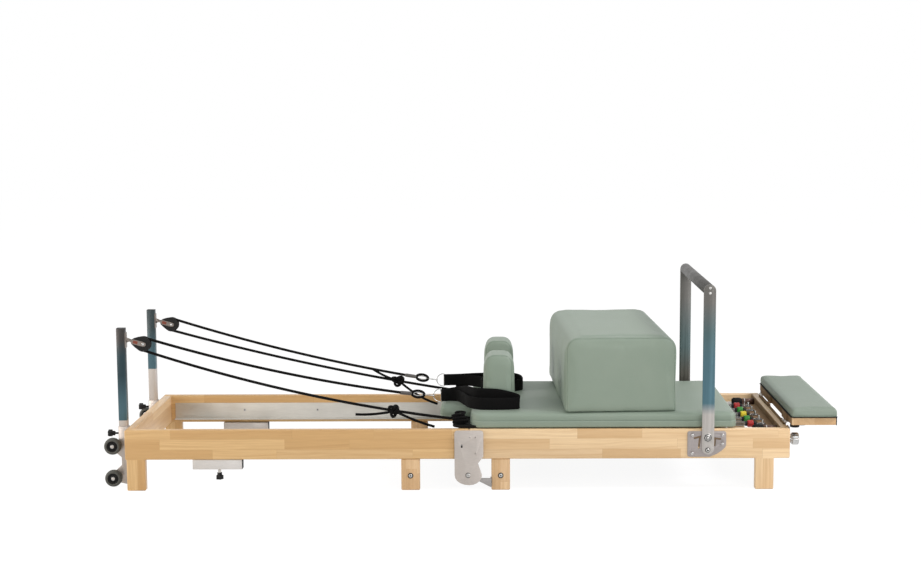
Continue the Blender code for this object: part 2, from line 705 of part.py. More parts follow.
def build_end_boards():
    """The end boards; the foot one carries the spring ledge, its posts and the carriage stops."""
    ys = (FIT - RAIL_INNER, RAIL_INNER - FIT)
    zs = (LEG_HEIGHT, RAIL_TOP)
    block("head_end_board", (0, END_BOARD_THICKNESS), ys, zs, head_frame, WOOD, WOOD_EDGE)
    board = block("foot_end_board", (BOARD_X, FRAME_LENGTH), ys, zs, foot_frame, WOOD, WOOD_EDGE)
    ledge_top = SPRING_HEIGHT - HOOK_WIRE_RADIUS - FIT
    reach = SPRING_YS[-1] + LEDGE_MARGIN
    ledge = block(
        "spring_ledge", (BOARD_X - LEDGE_DEPTH, BOARD_X + WOOD_EDGE), (-reach, reach),
        (ledge_top - LEDGE_THICKNESS, ledge_top), foot_frame
    )
    join(board, ledge)
    for i, y in enumerate(SPRING_YS):
        post = rod(
            f"hook_post_{i + 1}", (POST_X, y, ledge_top - BITE), POST_HEIGHT + BITE, POST_RADIUS, "Z",
            foot_frame, None, 10
        )
        join(board, post)
    for side_name, side in SIDES:
        stop = rod(
            f"carriage_stop_{side_name}", (BOARD_X + BITE, side * (HALF_WIDTH - STOP_INSET), SPRING_HEIGHT),
            -STOP_LENGTH - BITE, STOP_RADIUS, "X", foot_frame
        )
        third = PLATFORM_HINGE_WIDTH / 3
        hinge_start = side * PLATFORM_HINGE_Y - third / 2
        hinge_barrel = rod(
            f"platform_barrel_{side_name}", (PLATFORM_AXIS_X, hinge_start, PLATFORM_AXIS_Z),
            third, KNUCKLE_RADIUS, "Y", foot_frame
        )
        hinge_leaf = block(
            f"platform_frame_leaf_{side_name}",
            (PLATFORM_AXIS_X - PLATFORM_LEAF_WALL / 2, PLATFORM_AXIS_X + PLATFORM_LEAF_WALL / 2),
            (hinge_start, hinge_start + third),
            (RAIL_TOP - WOOD_EDGE * 2, PLATFORM_AXIS_Z), foot_frame
        )
        join(board, stop, hinge_barrel, hinge_leaf)


def outer_hinge_outline():
    """The outer hinge plate: square over the rails, necked below them, round at the pivot."""
    half = HINGE_PLATE_WIDTH / 2
    points = arc((SPLIT + half - HINGE_CORNER, HINGE_TOP - HINGE_CORNER), HINGE_CORNER, 0, 90, 3)
    points += arc((SPLIT - half + HINGE_CORNER, HINGE_TOP - HINGE_CORNER), HINGE_CORNER, 90, 180, 3)
    for degrees in range(180, 361, 18):
        reach = half if degrees < 270 else HINGE_LOBE_REACH
        angle = math.radians(degrees)
        lobe_z = FOLD_AXIS_HEIGHT + HINGE_LOBE_DEPTH * math.sin(angle)
        points.append((SPLIT + reach * math.cos(angle), lobe_z))
    points.append((SPLIT + HINGE_NECK_REACH, FOLD_AXIS_HEIGHT + HINGE_NECK_ABOVE_AXIS))
    points.append((SPLIT + half, LEG_HEIGHT + HINGE_CORNER))
    return points


def inner_hinge_outline():
    """The inner hinge plate: over the head rail's end, with a round eye at the pivot."""
    centre = (SPLIT, FOLD_AXIS_HEIGHT)
    top = HINGE_TOP - HINGE_PLATE_WALL
    left = SPLIT - HINGE_PLATE_WIDTH / 2 + HINGE_PLATE_WALL
    points = [(SPLIT - FIT, top), (left, top), (left, LEG_HEIGHT - HINGE_CORNER)]
    points.append((SPLIT - HINGE_EYE_RADIUS, FOLD_AXIS_HEIGHT + HINGE_NECK_ABOVE_AXIS))
    points += arc(centre, HINGE_EYE_RADIUS, 180, 360, 12)
    points += arc(centre, HINGE_EYE_RADIUS, 15, 90, 5)
    return points


def build_fold_hinges():
    """The fold hinge of each side: a plate on each half and a pin below the rails."""
    leg_face = SPLIT + FOOT_MID_LEG_FROM_SPLIT - FIT
    half = HINGE_PLATE_WIDTH / 2
    eye_clear = SPLIT + HINGE_EYE_RADIUS + FIT * 4
    lock_hole = circle((SPLIT - LOCK_HOLE_FROM_SPLIT, RAIL_TOP - LOCK_HOLE_BELOW_TOP), LOCK_HOLE_RADIUS, 10)
    pin_hole = circle((SPLIT, FOLD_AXIS_HEIGHT), HINGE_PIN_RADIUS + FIT)
    arm_outline = (
        (eye_clear, HINGE_ARM_TOP), (eye_clear, FOLD_AXIS_HEIGHT - HINGE_ARM_DROP),
        (leg_face - HINGE_PLATE_WALL, HINGE_ARM_BOTTOM), (leg_face, HINGE_ARM_BOTTOM),
        (leg_face, HINGE_ARM_TOP),
    )
    for side_name, side in SIDES:
        inner_face = side * HINGE_INNER_Y
        outer_face = side * HINGE_OUTER_Y
        into_outer = side * (HINGE_OUTER_Y + BITE)
        outer = plate(
            f"hinge_plate_outer_{side_name}", [outer_hinge_outline(), lock_hole],
            (outer_face, outer_face + side * HINGE_PLATE_WALL), "Y", foot_frame, STEEL
        )
        spacer = block(
            f"hinge_spacer_{side_name}", (SPLIT + FIT, SPLIT + half - HINGE_PLATE_WALL),
            (inner_face, into_outer), (LEG_HEIGHT + HINGE_CORNER, HINGE_TOP - HINGE_PLATE_WALL), foot_frame
        )
        arm = plate(
            f"hinge_arm_{side_name}", [arm_outline], (inner_face, into_outer), "Y", foot_frame
        )
        foot = block(
            f"hinge_foot_{side_name}", (leg_face - HINGE_PLATE_WALL, leg_face),
            (inner_face - side * HINGE_ARM_FOOT, inner_face + side * BITE),
            (HINGE_ARM_BOTTOM, HINGE_ARM_TOP),
            foot_frame
        )
        pin = rod(
            f"hinge_pin_{side_name}", (SPLIT, inner_face, FOLD_AXIS_HEIGHT),
            side * (HINGE_PLATE_WALL + FIT + BITE), HINGE_PIN_RADIUS, "Y", foot_frame
        )
        pin_head = rod(
            f"hinge_pin_head_{side_name}", (SPLIT, into_outer, FOLD_AXIS_HEIGHT),
            side * (HINGE_PLATE_WALL - BITE + BOLT_HEAD_HEIGHT), BOLT_HEAD_RADIUS, "Y", foot_frame
        )
        join(outer, spacer, arm, foot, pin, pin_head)
        for i, below in enumerate(HINGE_SCREWS_BELOW_TOP):
            screw = rod(
                f"hinge_screw_{side_name}_{i}",
                (SPLIT + HINGE_SCREW_FROM_SPLIT, into_outer, RAIL_TOP - below),
                side * (HINGE_PLATE_WALL - BITE + SCREW_HEAD_HEIGHT), SCREW_HEAD_RADIUS, "Y", foot_frame
            )
            join(outer, screw)
        plate(
            f"hinge_plate_inner_{side_name}", [inner_hinge_outline(), pin_hole],
            (inner_face, inner_face + side * HINGE_PLATE_WALL), "Y", head_frame, STEEL
        )


def bracket_outline():
    """The wheel bracket's side: lobes round both axles, a waist between and a foot at the floor end."""
    wheel_x = -WHEEL_FROM_BOARD
    high, low = WHEEL_HEIGHTS
    waist = [BRACKET_TOP - below for below in BRACKET_WAIST_BELOW_TOP]
    points = [(-FIT, BRACKET_BOTTOM), (-FIT, BRACKET_TOP), (-BRACKET_FOOT_REACH, BRACKET_TOP)]
    points += arc((wheel_x, high), BRACKET_LOBE_RADIUS, 90, 225, 6)
    points += [(-BRACKET_WAIST_REACH, waist[0]), (-BRACKET_WAIST_REACH, waist[1])]
    points += arc((wheel_x, low), BRACKET_LOBE_RADIUS, 120, 270, 6)
    points.append((-BRACKET_FOOT_REACH, BRACKET_BOTTOM))
    return points


def star_knob(name, start, axis_sign, stem, owner, material):
    """A star knob along X: its lobed head, neck and stem, from the tip of the stem outwards."""
    head_start = start[0] + axis_sign * (stem + STAR_NECK_LENGTH)
    knob = plate(
        name, [star(STAR_RADIUS, STAR_LOBES, STAR_DEPTH)], (0, axis_sign * STAR_LENGTH), "X", owner,
        material,
        (head_start, start[1], start[2])
    )
    neck = rod(
        name + "_neck", (head_start + axis_sign * BITE, start[1], start[2]),
        -axis_sign * (STAR_NECK_LENGTH + BITE),
        STAR_NECK_RADIUS, "X", owner
    )
    pin = rod(
        name + "_stem", start, axis_sign * (stem + BITE), STEM_RADIUS, "X", owner
    )
    return join(knob, neck, pin)


def build_head_end():
    """Wheel brackets with their riser sleeves, the wheels, the risers and their star knobs."""
    riser_x = -RISER_FROM_BOARD
    sleeve_face = riser_x - SLEEVE_HALF
    knob_start = riser_x - RISER_SIZE / 2 - FIT
    stem = RISER_KNOB_STAND_OFF + SLEEVE_WALL
    wheel_half = WHEEL_WIDTH / 2
    face = wheel_half - WHEEL_RECESS
    bore = AXLE_RADIUS + FIT
    wheel_profile = (
        (WHEEL_RADIUS - WHEEL_RECESS, wheel_half), (WHEEL_RADIUS, face), (WHEEL_RADIUS, -face),
        (WHEEL_RADIUS - WHEEL_RECESS, -wheel_half), (WHEEL_RIM_RADIUS, -wheel_half),
        (WHEEL_HUB_RADIUS, -face),
        (bore, -wheel_half), (bore, wheel_half), (WHEEL_HUB_RADIUS, face), (WHEEL_RIM_RADIUS, wheel_half),
    )
    for side_name, side in SIDES:
        y = side * RISER_Y
        bracket = plate(
            f"wheel_bracket_{side_name}", [bracket_outline()],
            (side * BRACKET_Y, side * (BRACKET_Y + BRACKET_WALL)), "Y", head_frame, STEEL
        )
        outer_square = [(x + riser_x, z + y) for x, z in rounded_rectangle(
            (-SLEEVE_HALF, -SLEEVE_HALF), (SLEEVE_HALF, SLEEVE_HALF), [RISER_CORNER + SLEEVE_WALL] * 4, 2)]
        inner_half = SLEEVE_HALF - SLEEVE_WALL
        inner_square = [(x + riser_x, z + y) for x, z in rounded_rectangle(
            (-inner_half, -inner_half), (inner_half, inner_half), [RISER_CORNER] * 4, 2)]
        sleeve = plate(
            f"riser_sleeve_{side_name}", [outer_square, inner_square], (SLEEVE_BOTTOM, SLEEVE_TOP), "Z",
            head_frame
        )
        flange = block(
            f"bracket_flange_{side_name}", (riser_x + SLEEVE_HALF - BITE, -FIT),
            (y - side * SLEEVE_HALF, side * (BRACKET_Y + BRACKET_WALL)),
            (SLEEVE_BOTTOM - WOOD_EDGE, SLEEVE_TOP - WOOD_EDGE), head_frame
        )
        hole = rod(
            f"knob_hole_{side_name}", (sleeve_face - SLEEVE_WALL, y, RISER_KNOB_HEIGHT), SLEEVE_WALL * 3,
            STEM_RADIUS + FIT, "X", head_frame
        )
        join(bracket, sleeve, flange)
        cut(bracket, hole)
        for height_name, height in zip(("high", "low"), WHEEL_HEIGHTS):
            stud = rod(
                f"axle_{height_name}_{side_name}", (-WHEEL_FROM_BOARD, side * (BRACKET_Y + BITE), height),
                side * (BRACKET_WALL - BITE + BRACKET_PLAY + WHEEL_WIDTH), AXLE_RADIUS, "Y", head_frame
            )
            join(bracket, stud)
            place = (-WHEEL_FROM_BOARD, side * WHEEL_Y, height)
            owner = body(f"wheel_{height_name}_{side_name}_turn", place, head_frame)
            turned_ring(f"wheel_{height_name}_{side_name}", wheel_profile, place, "Y", owner, TYRE)
        riser_body = body(f"riser_{side_name}_lift", (riser_x, y, SLEEVE_TOP), head_frame)
        build_riser(side_name, riser_x, y, riser_body)
        knob_body = body(f"riser_knob_{side_name}_turn", (sleeve_face, y, RISER_KNOB_HEIGHT), head_frame)
        star_knob(
            f"riser_knob_{side_name}", (knob_start, y, RISER_KNOB_HEIGHT), -1, stem, knob_body, PLASTIC
        )


def build_riser(side_name, x, y, owner):
    """A square riser with its cap and pad-eye, and the pulley block that swivels on it."""
    half = RISER_SIZE / 2
    outline = rounded_rectangle((x - half, y - half), (x + half, y + half), [RISER_CORNER] * 4, 2)
    inner = half - RISER_WALL
    hollow = rounded_rectangle((x - inner, y - inner), (x + inner, y + inner), [RISER_WALL / 2] * 4, 1)
    riser = plate(
        f"riser_{side_name}", [outline, hollow], (RISER_BOTTOM, RISER_TOP - RISER_CAP_HEIGHT / 2), "Z",
        owner, STEEL
    )
    cap = plate(
        f"riser_cap_{side_name}", [outline], (RISER_TOP - RISER_CAP_HEIGHT, RISER_TOP), "Z", owner
    )
    padeye = block(
        f"padeye_{side_name}", (PADEYE_X - PADEYE_WALL - BITE, PADEYE_X),
        (y - PADEYE_WIDTH / 2, y + PADEYE_WIDTH / 2),
        (PADEYE_Z - PADEYE_HEIGHT / 2, PADEYE_Z + PADEYE_HEIGHT / 2), owner
    )
    lug_root = PADEYE_X - BITE
    lug_outline = arc((PIN_X, PADEYE_Z), LUG_RADIUS, -90, 90, 8)
    lug_outline += [(lug_root, PADEYE_Z + LUG_ROOT_HALF), (lug_root, PADEYE_Z - LUG_ROOT_HALF)]
    lug_hole = circle((PIN_X, PADEYE_Z), BLOCK_PIN_RADIUS + FIT, 12)
    lug = plate(
        f"lug_{side_name}", [lug_outline, lug_hole], (y - LUG_WALL / 2, y + LUG_WALL / 2), "Y", owner
    )
    join(riser, cap, padeye, lug)

    block_body = body(f"pulley_{side_name}_swivel", (PIN_X, y, PADEYE_Z), owner)
    cheek_inner = SHEAVE_WIDTH / 2 + CHEEK_PLAY
    tilt = math.degrees(BLOCK_TILT)
    taper = math.degrees(math.asin((CHEEK_RADIUS - BLOCK_HEAD_RADIUS) / BLOCK_LENGTH))
    cheek = arc((PIN_X, PADEYE_Z), BLOCK_HEAD_RADIUS, 90 - tilt + taper, 270 - tilt - taper, 5)
    cheek += arc((SHEAVE_X, SHEAVE_Z), CHEEK_RADIUS, -90 - tilt - taper, 90 - tilt + taper, 10)
    pulley = plate(
        f"pulley_block_{side_name}", [cheek], (y + cheek_inner, y + cheek_inner + CHEEK_WALL), "Y",
        block_body, CHROME
    )
    other = plate(
        f"cheek_{side_name}", [cheek], (y - cheek_inner, y - cheek_inner - CHEEK_WALL), "Y", block_body
    )
    join(pulley, other)
    reach = cheek_inner + CHEEK_WALL + BOLT_HEAD_HEIGHT / 2
    for pin_name, centre in (("pin", (PIN_X, PADEYE_Z)), ("axle", (SHEAVE_X, SHEAVE_Z))):
        pin = rod(
            f"block_{pin_name}_{side_name}", (centre[0], y - reach, centre[1]), reach * 2,
            BLOCK_PIN_RADIUS, "Y", block_body
        )
        join(pulley, pin)

    place = (SHEAVE_X, y, SHEAVE_Z)
    sheave_body = body(f"sheave_{side_name}_turn", place, block_body)
    floor = ROPE_BEND_RADIUS - ROPE_RADIUS - FIT
    rim = floor + SHEAVE_FLANGE_DEPTH
    groove = SHEAVE_WIDTH / 2 - SHEAVE_FLANGE
    bore = BLOCK_PIN_RADIUS + FIT
    edge = SHEAVE_WIDTH / 2
    profile = (
        (rim, edge), (rim, groove), (floor, groove - SHEAVE_FLANGE), (floor, SHEAVE_FLANGE - groove),
        (rim, -groove), (rim, -edge), (bore, -edge), (bore, edge),
    )
    turned_ring(f"sheave_{side_name}", profile, place, "Y", sheave_body, PLASTIC)


def rope_run(start, end, sag):
    """Points of a rope between two places, hanging below the straight line by a sag."""
    points = []
    for i in range(ROPE_POINTS + 1):
        share = i / ROPE_POINTS
        drop = Vector((0, 0, 4 * sag * share * (1 - share)))
        points.append(Vector(start).lerp(Vector(end), share) - drop)
    return points


def build_ropes():
    """One rope on each side: from the cleat up to the pulley, round it, and out to the strap."""
    for side_name, side in SIDES:
        y = side * RISER_Y
        tilt = math.degrees(BLOCK_TILT)
        wrap = [
            Vector((x, y, z))
            for x, z in arc((SHEAVE_X, SHEAVE_Z), ROPE_BEND_RADIUS, 270 - tilt, 90 - tilt, 10)
        ]
        cleat = (CLEAT_X - ROPE_TO_CLEAT, side * CLEAT_Y, DECK_TOP + ROPE_ABOVE_CLEAT_FOOT)
        eye_x, eye_y = strap_end(side_name, side)
        eye = (eye_x - ROPE_EYE_FROM_STRAP, eye_y, PAD_TOP + ROPE_EYE_ABOVE_PAD)
        out_sag, back_sag = ROPE_SAG[side_name]
        back = rope_run(cleat, wrap[0], back_sag)
        out = rope_run(wrap[-1], eye, out_sag)
        bent_bar(f"rope_{side_name}", back[:-1] + wrap + out[1:], ROPE_RADIUS, head_frame, ROPE)


def build_storage_sockets():
    """Square sockets below the head rails that hold the risers while the reformer is folded."""
    end = STORAGE_START + STORAGE_LENGTH
    top = LEG_HEIGHT - FIT
    middle_z = top - STORAGE_SIZE / 2
    half = STORAGE_SIZE / 2
    hollow = half - STORAGE_WALL
    for side_name, side in SIDES:
        y = side * (HALF_WIDTH - STORAGE_INSET - half)
        rings = [
            [(y + a, middle_z + b) for a, b in rounded_rectangle((-r, -r), (r, r), [RISER_CORNER] * 4, 2)]
            for r in (half, hollow)
        ]
        socket = plate(
            f"storage_socket_{side_name}", rings, (STORAGE_START, end), "X", head_frame, STEEL
        )
        cap = plate(
            f"storage_cap_{side_name}", [rings[0]], (end - BITE, end + STORAGE_CAP), "X", head_frame
        )
        knob_x = STORAGE_START + STORAGE_KNOB_FROM_START
        floor = top - STORAGE_SIZE
        drop = STORAGE_KNOB_STAND_OFF
        stem = rod(
            f"storage_stem_{side_name}", (knob_x, y, floor + BITE), -drop - BITE * 2, THICK_STEM_RADIUS,
            "Z", head_frame
        )
        neck = rod(
            f"storage_neck_{side_name}", (knob_x, y, floor - drop), -STAR_NECK_LENGTH - BITE,
            STAR_NECK_RADIUS, "Z", head_frame
        )
        head = plate(
            f"storage_knob_{side_name}", [star(STAR_RADIUS, STAR_LOBES, STAR_DEPTH)], (0, -STAR_LENGTH),
            "Z", head_frame, None, (knob_x, y, floor - drop - STAR_NECK_LENGTH)
        )
        join(socket, cap, stem, neck, head)


def build_carriage():
    """The carriage's board with its runners, spring yoke and cleats, and the rollers on their axles."""
    half = HALF_WIDTH - CARRIAGE_BOARD_INSET
    radii = (CARRIAGE_BOARD_CORNER, PAD_EDGE, PAD_EDGE, CARRIAGE_BOARD_CORNER)
    outline = rounded_rectangle((CARRIAGE_START, -half), (CARRIAGE_END, half), radii)
    board = plate("carriage_board", [outline], (DECK_BOTTOM, DECK_TOP), "Z", carriage, DECK)
    runner_bottom = DECK_BOTTOM - RUNNER_HEIGHT
    yoke = block(
        "spring_yoke", (YOKE_X, YOKE_X + YOKE_WALL), (BITE * 2 - RUNNER_Y, RUNNER_Y - BITE * 2),
        (DECK_BOTTOM - YOKE_HEIGHT, DECK_BOTTOM + BITE), carriage
    )
    join(board, yoke)
    bore = AXLE_RADIUS + FIT
    roller_half = ROLLER_WIDTH / 2
    roller_profile = (
        (ROLLER_RADIUS, roller_half), (ROLLER_RADIUS, -roller_half), (bore, -roller_half),
        (bore, roller_half),
    )
    for side_name, side in SIDES:
        runner = block(
            f"runner_{side_name}", (CARRIAGE_START + RUNNER_MARGIN, CARRIAGE_END - RUNNER_MARGIN),
            (side * (RUNNER_Y - RUNNER_WALL), side * RUNNER_Y), (runner_bottom, DECK_BOTTOM + BITE),
            carriage
        )
        post = rod(
            f"cleat_post_{side_name}", (CLEAT_X, side * CLEAT_Y, DECK_TOP - BITE),
            CLEAT_POST_HEIGHT + BITE * 2, CLEAT_POST_RADIUS, "Z", carriage
        )
        horns = block(
            f"cleat_horns_{side_name}", (CLEAT_X - CLEAT_LENGTH / 2, CLEAT_X + CLEAT_LENGTH / 2),
            (side * CLEAT_Y - CLEAT_THICKNESS / 2, side * CLEAT_Y + CLEAT_THICKNESS / 2),
            (DECK_TOP + CLEAT_POST_HEIGHT, DECK_TOP + CLEAT_POST_HEIGHT + CLEAT_THICKNESS),
            carriage, None, CLEAT_THICKNESS / 4
        )
        join(board, runner, post, horns)
        for end_name, x in zip(("head", "foot"), ROLLER_XS):
            axle = rod(
                f"roller_axle_{end_name}_{side_name}", (x, side * (RUNNER_Y - BITE), ROLLER_Z),
                side * (ROLLER_OUTER_Y - FIT - RUNNER_Y + BITE), AXLE_RADIUS, "Y", carriage
            )
            join(board, axle)
            place = (x, side * ROLLER_Y, ROLLER_Z)
            owner = body(f"roller_{end_name}_{side_name}_turn", place, carriage)
            turned_ring(f"roller_{end_name}_{side_name}", roller_profile, place, "Y", owner, PLASTIC)


def build_upholstery():
    """The main pad with its notch, the headrest in it, the shoulder rests and the sitting box."""
    half = HALF_WIDTH - PAD_INSET
    notch = HEADREST_WIDTH / 2 + HEADREST_GAP
    head_corner, foot_corner = PAD_CORNERS
    outline = rounded_rectangle(
        (PAD_START, -half), (PAD_END, half), (head_corner, foot_corner, foot_corner, head_corner), 4
    )
    notch_floor = HEADREST_END + HEADREST_GAP
    outline += [(PAD_START, notch), (notch_floor, notch), (notch_floor, -notch), (PAD_START, -notch)]
    soften(plate("main_pad", [outline], (PAD_BOTTOM, PAD_TOP), "Z", carriage, VINYL), PAD_EDGE, 2)
    block(
        "headrest", (HEADREST_END - HEADREST_LENGTH, HEADREST_END),
        (-HEADREST_WIDTH / 2, HEADREST_WIDTH / 2),
        (PAD_BOTTOM, PAD_TOP), head_support, VINYL, PAD_EDGE, 2
    )
    rest_bottom = PAD_TOP + FIT
    for side_name, side in SIDES:
        middle = side * SHOULDER_SPACING / 2
        block(
            f"shoulder_rest_{side_name}", (SHOULDER_X, SHOULDER_X + SHOULDER_DEPTH),
            (middle - SHOULDER_WIDTH / 2, middle + SHOULDER_WIDTH / 2),
            (rest_bottom, rest_bottom + SHOULDER_HEIGHT),
            carriage, VINYL, SHOULDER_EDGE, 3
        )
    shape = bmesh.new()
    bmesh.ops.create_cube(shape, size=1)
    bmesh.ops.translate(shape, vec=(0.5, 0.5, 0.5), verts=shape.verts)
    bmesh.ops.scale(shape, vec=(BOX_DEPTH, BOX_LENGTH, BOX_HEIGHT), verts=shape.verts)
    box = add("sitting_box", mesh_of(shape, "sitting_box"), (BOX_X, BOX_Y, rest_bottom), box_on_pad, VINYL)
    box.rotation_euler = (0, 0, BOX_YAW)
    soften(box, BOX_EDGE, 3)


def strap_end(side_name, side):
    """Where a strap's loop closes, as x and y of the drawing."""
    loop = STRAP_LOOPS[side_name]
    middle = (loop[0][1] + loop[-1][1]) / 2
    return SHOULDER_X + loop[0][0], side * SHOULDER_SPACING / 2 + middle


def build_straps():
    """The webbing loops round the shoulder rests, each with its ring and snap hook."""
    low = PAD_TOP + FIT
    middle_z = low + STRAP_WIDTH / 2
    for side_name, side in SIDES:
        loop = [(SHOULDER_X + x, side * SHOULDER_SPACING / 2 + y) for x, y in STRAP_LOOPS[side_name]]
        outline = offset_path(loop, -STRAP_THICKNESS / 2, True)
        hollow = offset_path(loop, STRAP_THICKNESS / 2, True)
        strap = plate(
            f"strap_{side_name}", [outline, hollow], (low, low + STRAP_WIDTH), "Z", carriage, WEBBING
        )
        end_x, end_y = strap_end(side_name, side)
        ring_x = end_x - RING_RADIUS
        ring_points = [(x, end_y, z) for x, z in circle((ring_x, middle_z), RING_RADIUS)]
        ring = bent_bar(f"strap_ring_{side_name}", ring_points, RING_WIRE_RADIUS, carriage, None, 0, True)
        snap = rod(
            f"strap_snap_{side_name}", (ring_x - RING_RADIUS + RING_WIRE_RADIUS, end_y, middle_z),
            -SNAP_LENGTH, SNAP_RADIUS, "X", carriage, None, 8
        )
        join(strap, ring, snap)


def build_springs():
    """The five springs: a ring on its post, a coloured grip and the coil to the carriage's yoke."""
    coil_start = YOKE_X + YOKE_WALL + FIT
    for i, (y, material) in enumerate(zip(SPRING_YS, GRIPS + GRIPS[-2::-1])):
        name = f"spring_{i + 1}"
        spring = rod(
            name, (GRIP_END, y, SPRING_HEIGHT), -GRIP_LENGTH, GRIP_RADIUS, "X", foot_frame, material, 12
        )
        coil = rod(
            name + "_coil", (coil_start, y, SPRING_HEIGHT), GRIP_END - GRIP_LENGTH - coil_start + BITE,
            SPRING_RADIUS, "X", foot_frame
        )
        shank = rod(
            name + "_shank", (GRIP_END - BITE, y, SPRING_HEIGHT), HOOK_SHANK + BITE + HOOK_WIRE_RADIUS,
            HOOK_WIRE_RADIUS, "X", foot_frame, None, 8
        )
        ring_points = [(a, b, SPRING_HEIGHT) for a, b in circle((HOOK_X, y), HOOK_RADIUS)]
        ring = bent_bar(name + "_ring", ring_points, HOOK_WIRE_RADIUS, foot_frame, None, 0, True)
        join(spring, coil, shank, ring)


def gate_outline():
    """The gate plate's edge: a rectangle whose lower foot corner is cut away in a curve."""
    left = FOOT_BAR_X - GATE_HEAD_REACH
    right = left + GATE_WIDTH
    top = GATE_BOTTOM + GATE_HEIGHT
    points = arc((right - GATE_CORNER, top - GATE_CORNER), GATE_CORNER, 0, 90, 3)
    points += arc((left + GATE_CORNER, top - GATE_CORNER), GATE_CORNER, 90, 180, 3)
    points += arc((left + GATE_CORNER, GATE_BOTTOM + GATE_CORNER), GATE_CORNER, 180, 270, 3)
    points += [
        (right - GATE_CUT[0] * (1 - share_x), GATE_BOTTOM + GATE_CUT[1] * share_z)
        for share_x, share_z in GATE_CUT_SHAPE
    ]
    return points


def build_foot_bar():
    """The gate plates with their pivots, and the foot bar: two flat uprights and a cross tube."""
    pivot = (FOOT_BAR_X, FOOT_BAR_PIVOT_HEIGHT)
    lock_z = FOOT_BAR_PIVOT_HEIGHT + LOCK_PIN_ABOVE_PIVOT
    half = UPRIGHT_WIDTH / 2
    below = UPRIGHT_BELOW_PIVOT
    upright_outline = arc((FOOT_BAR_X, CROSS_TUBE_Z), half, 0, 180, 10)
    upright_outline += arc((FOOT_BAR_X, FOOT_BAR_PIVOT_HEIGHT - below + half), half, 180, 360, 10)
    crescent_path = arc((FOOT_BAR_X, lock_z), CRESCENT_RADIUS, 205, 335, 6)
    holes = [
        circle(pivot, HINGE_PIN_RADIUS + FIT),
        slot(crescent_path, CRESCENT_WIDTH),
    ]
    gate_holes = [
        circle((FOOT_BAR_X + x, FOOT_BAR_PIVOT_HEIGHT + z), GATE_HOLE_RADIUS, 10) for x, z in GATE_HOLES
    ]
    gate_slots = [
        slot([(FOOT_BAR_X + x, FOOT_BAR_PIVOT_HEIGHT + z) for x, z in path], GATE_SLOT_WIDTH)
        for path in GATE_SLOTS
    ]
    for side_name, side in SIDES:
        gate = plate(
            f"gate_plate_{side_name}", [gate_outline()] + gate_holes + gate_slots,
            (side * GATE_Y, side * (GATE_Y + GATE_WALL)), "Y", foot_frame, STEEL
        )
        outer_face = UPRIGHT_Y + UPRIGHT_THICKNESS
        pin = rod(
            f"gate_pin_{side_name}", (pivot[0], side * (GATE_Y + BITE), pivot[1]),
            side * (outer_face + FIT - GATE_Y), HINGE_PIN_RADIUS, "Y", foot_frame, None, 14
        )
        pin_head = rod(
            f"gate_pin_head_{side_name}", (pivot[0], side * (outer_face + FIT), pivot[1]),
            side * BOLT_HEAD_HEIGHT, BOLT_HEAD_RADIUS, "Y", foot_frame, None, 14
        )
        join(gate, pin, pin_head)
        upright = plate(
            f"foot_bar_upright_{side_name}", [upright_outline] + holes,
            (side * UPRIGHT_Y, side * outer_face), "Y", foot_bar, STEEL
        )
        lock = rod(
            f"lock_pin_{side_name}", (FOOT_BAR_X, side * (outer_face - BITE), lock_z),
            side * (BOLT_HEAD_HEIGHT + BITE), HINGE_PIN_RADIUS, "Y", foot_bar, None, 20
        )
        join(upright, lock)
        for i in (-1, 1):
            screw = rod(
                f"bar_screw_{side_name}_{i + 1}",
                (FOOT_BAR_X, side * (outer_face - BITE), CROSS_TUBE_Z + i * BAR_SCREW_SPACING / 2),
                side * (BAR_SCREW_HEIGHT + BITE), BAR_SCREW_RADIUS, "Y", foot_bar
            )
            join(upright, screw)
    reach = UPRIGHT_Y - FIT
    inner = CROSS_TUBE_RADIUS - CROSS_TUBE_WALL
    profile = ((CROSS_TUBE_RADIUS, reach), (CROSS_TUBE_RADIUS, -reach), (inner, -reach), (inner, reach))
    turned_ring("foot_bar_cross_tube", profile, (FOOT_BAR_X, 0, CROSS_TUBE_Z), "Y", foot_bar, STEEL)


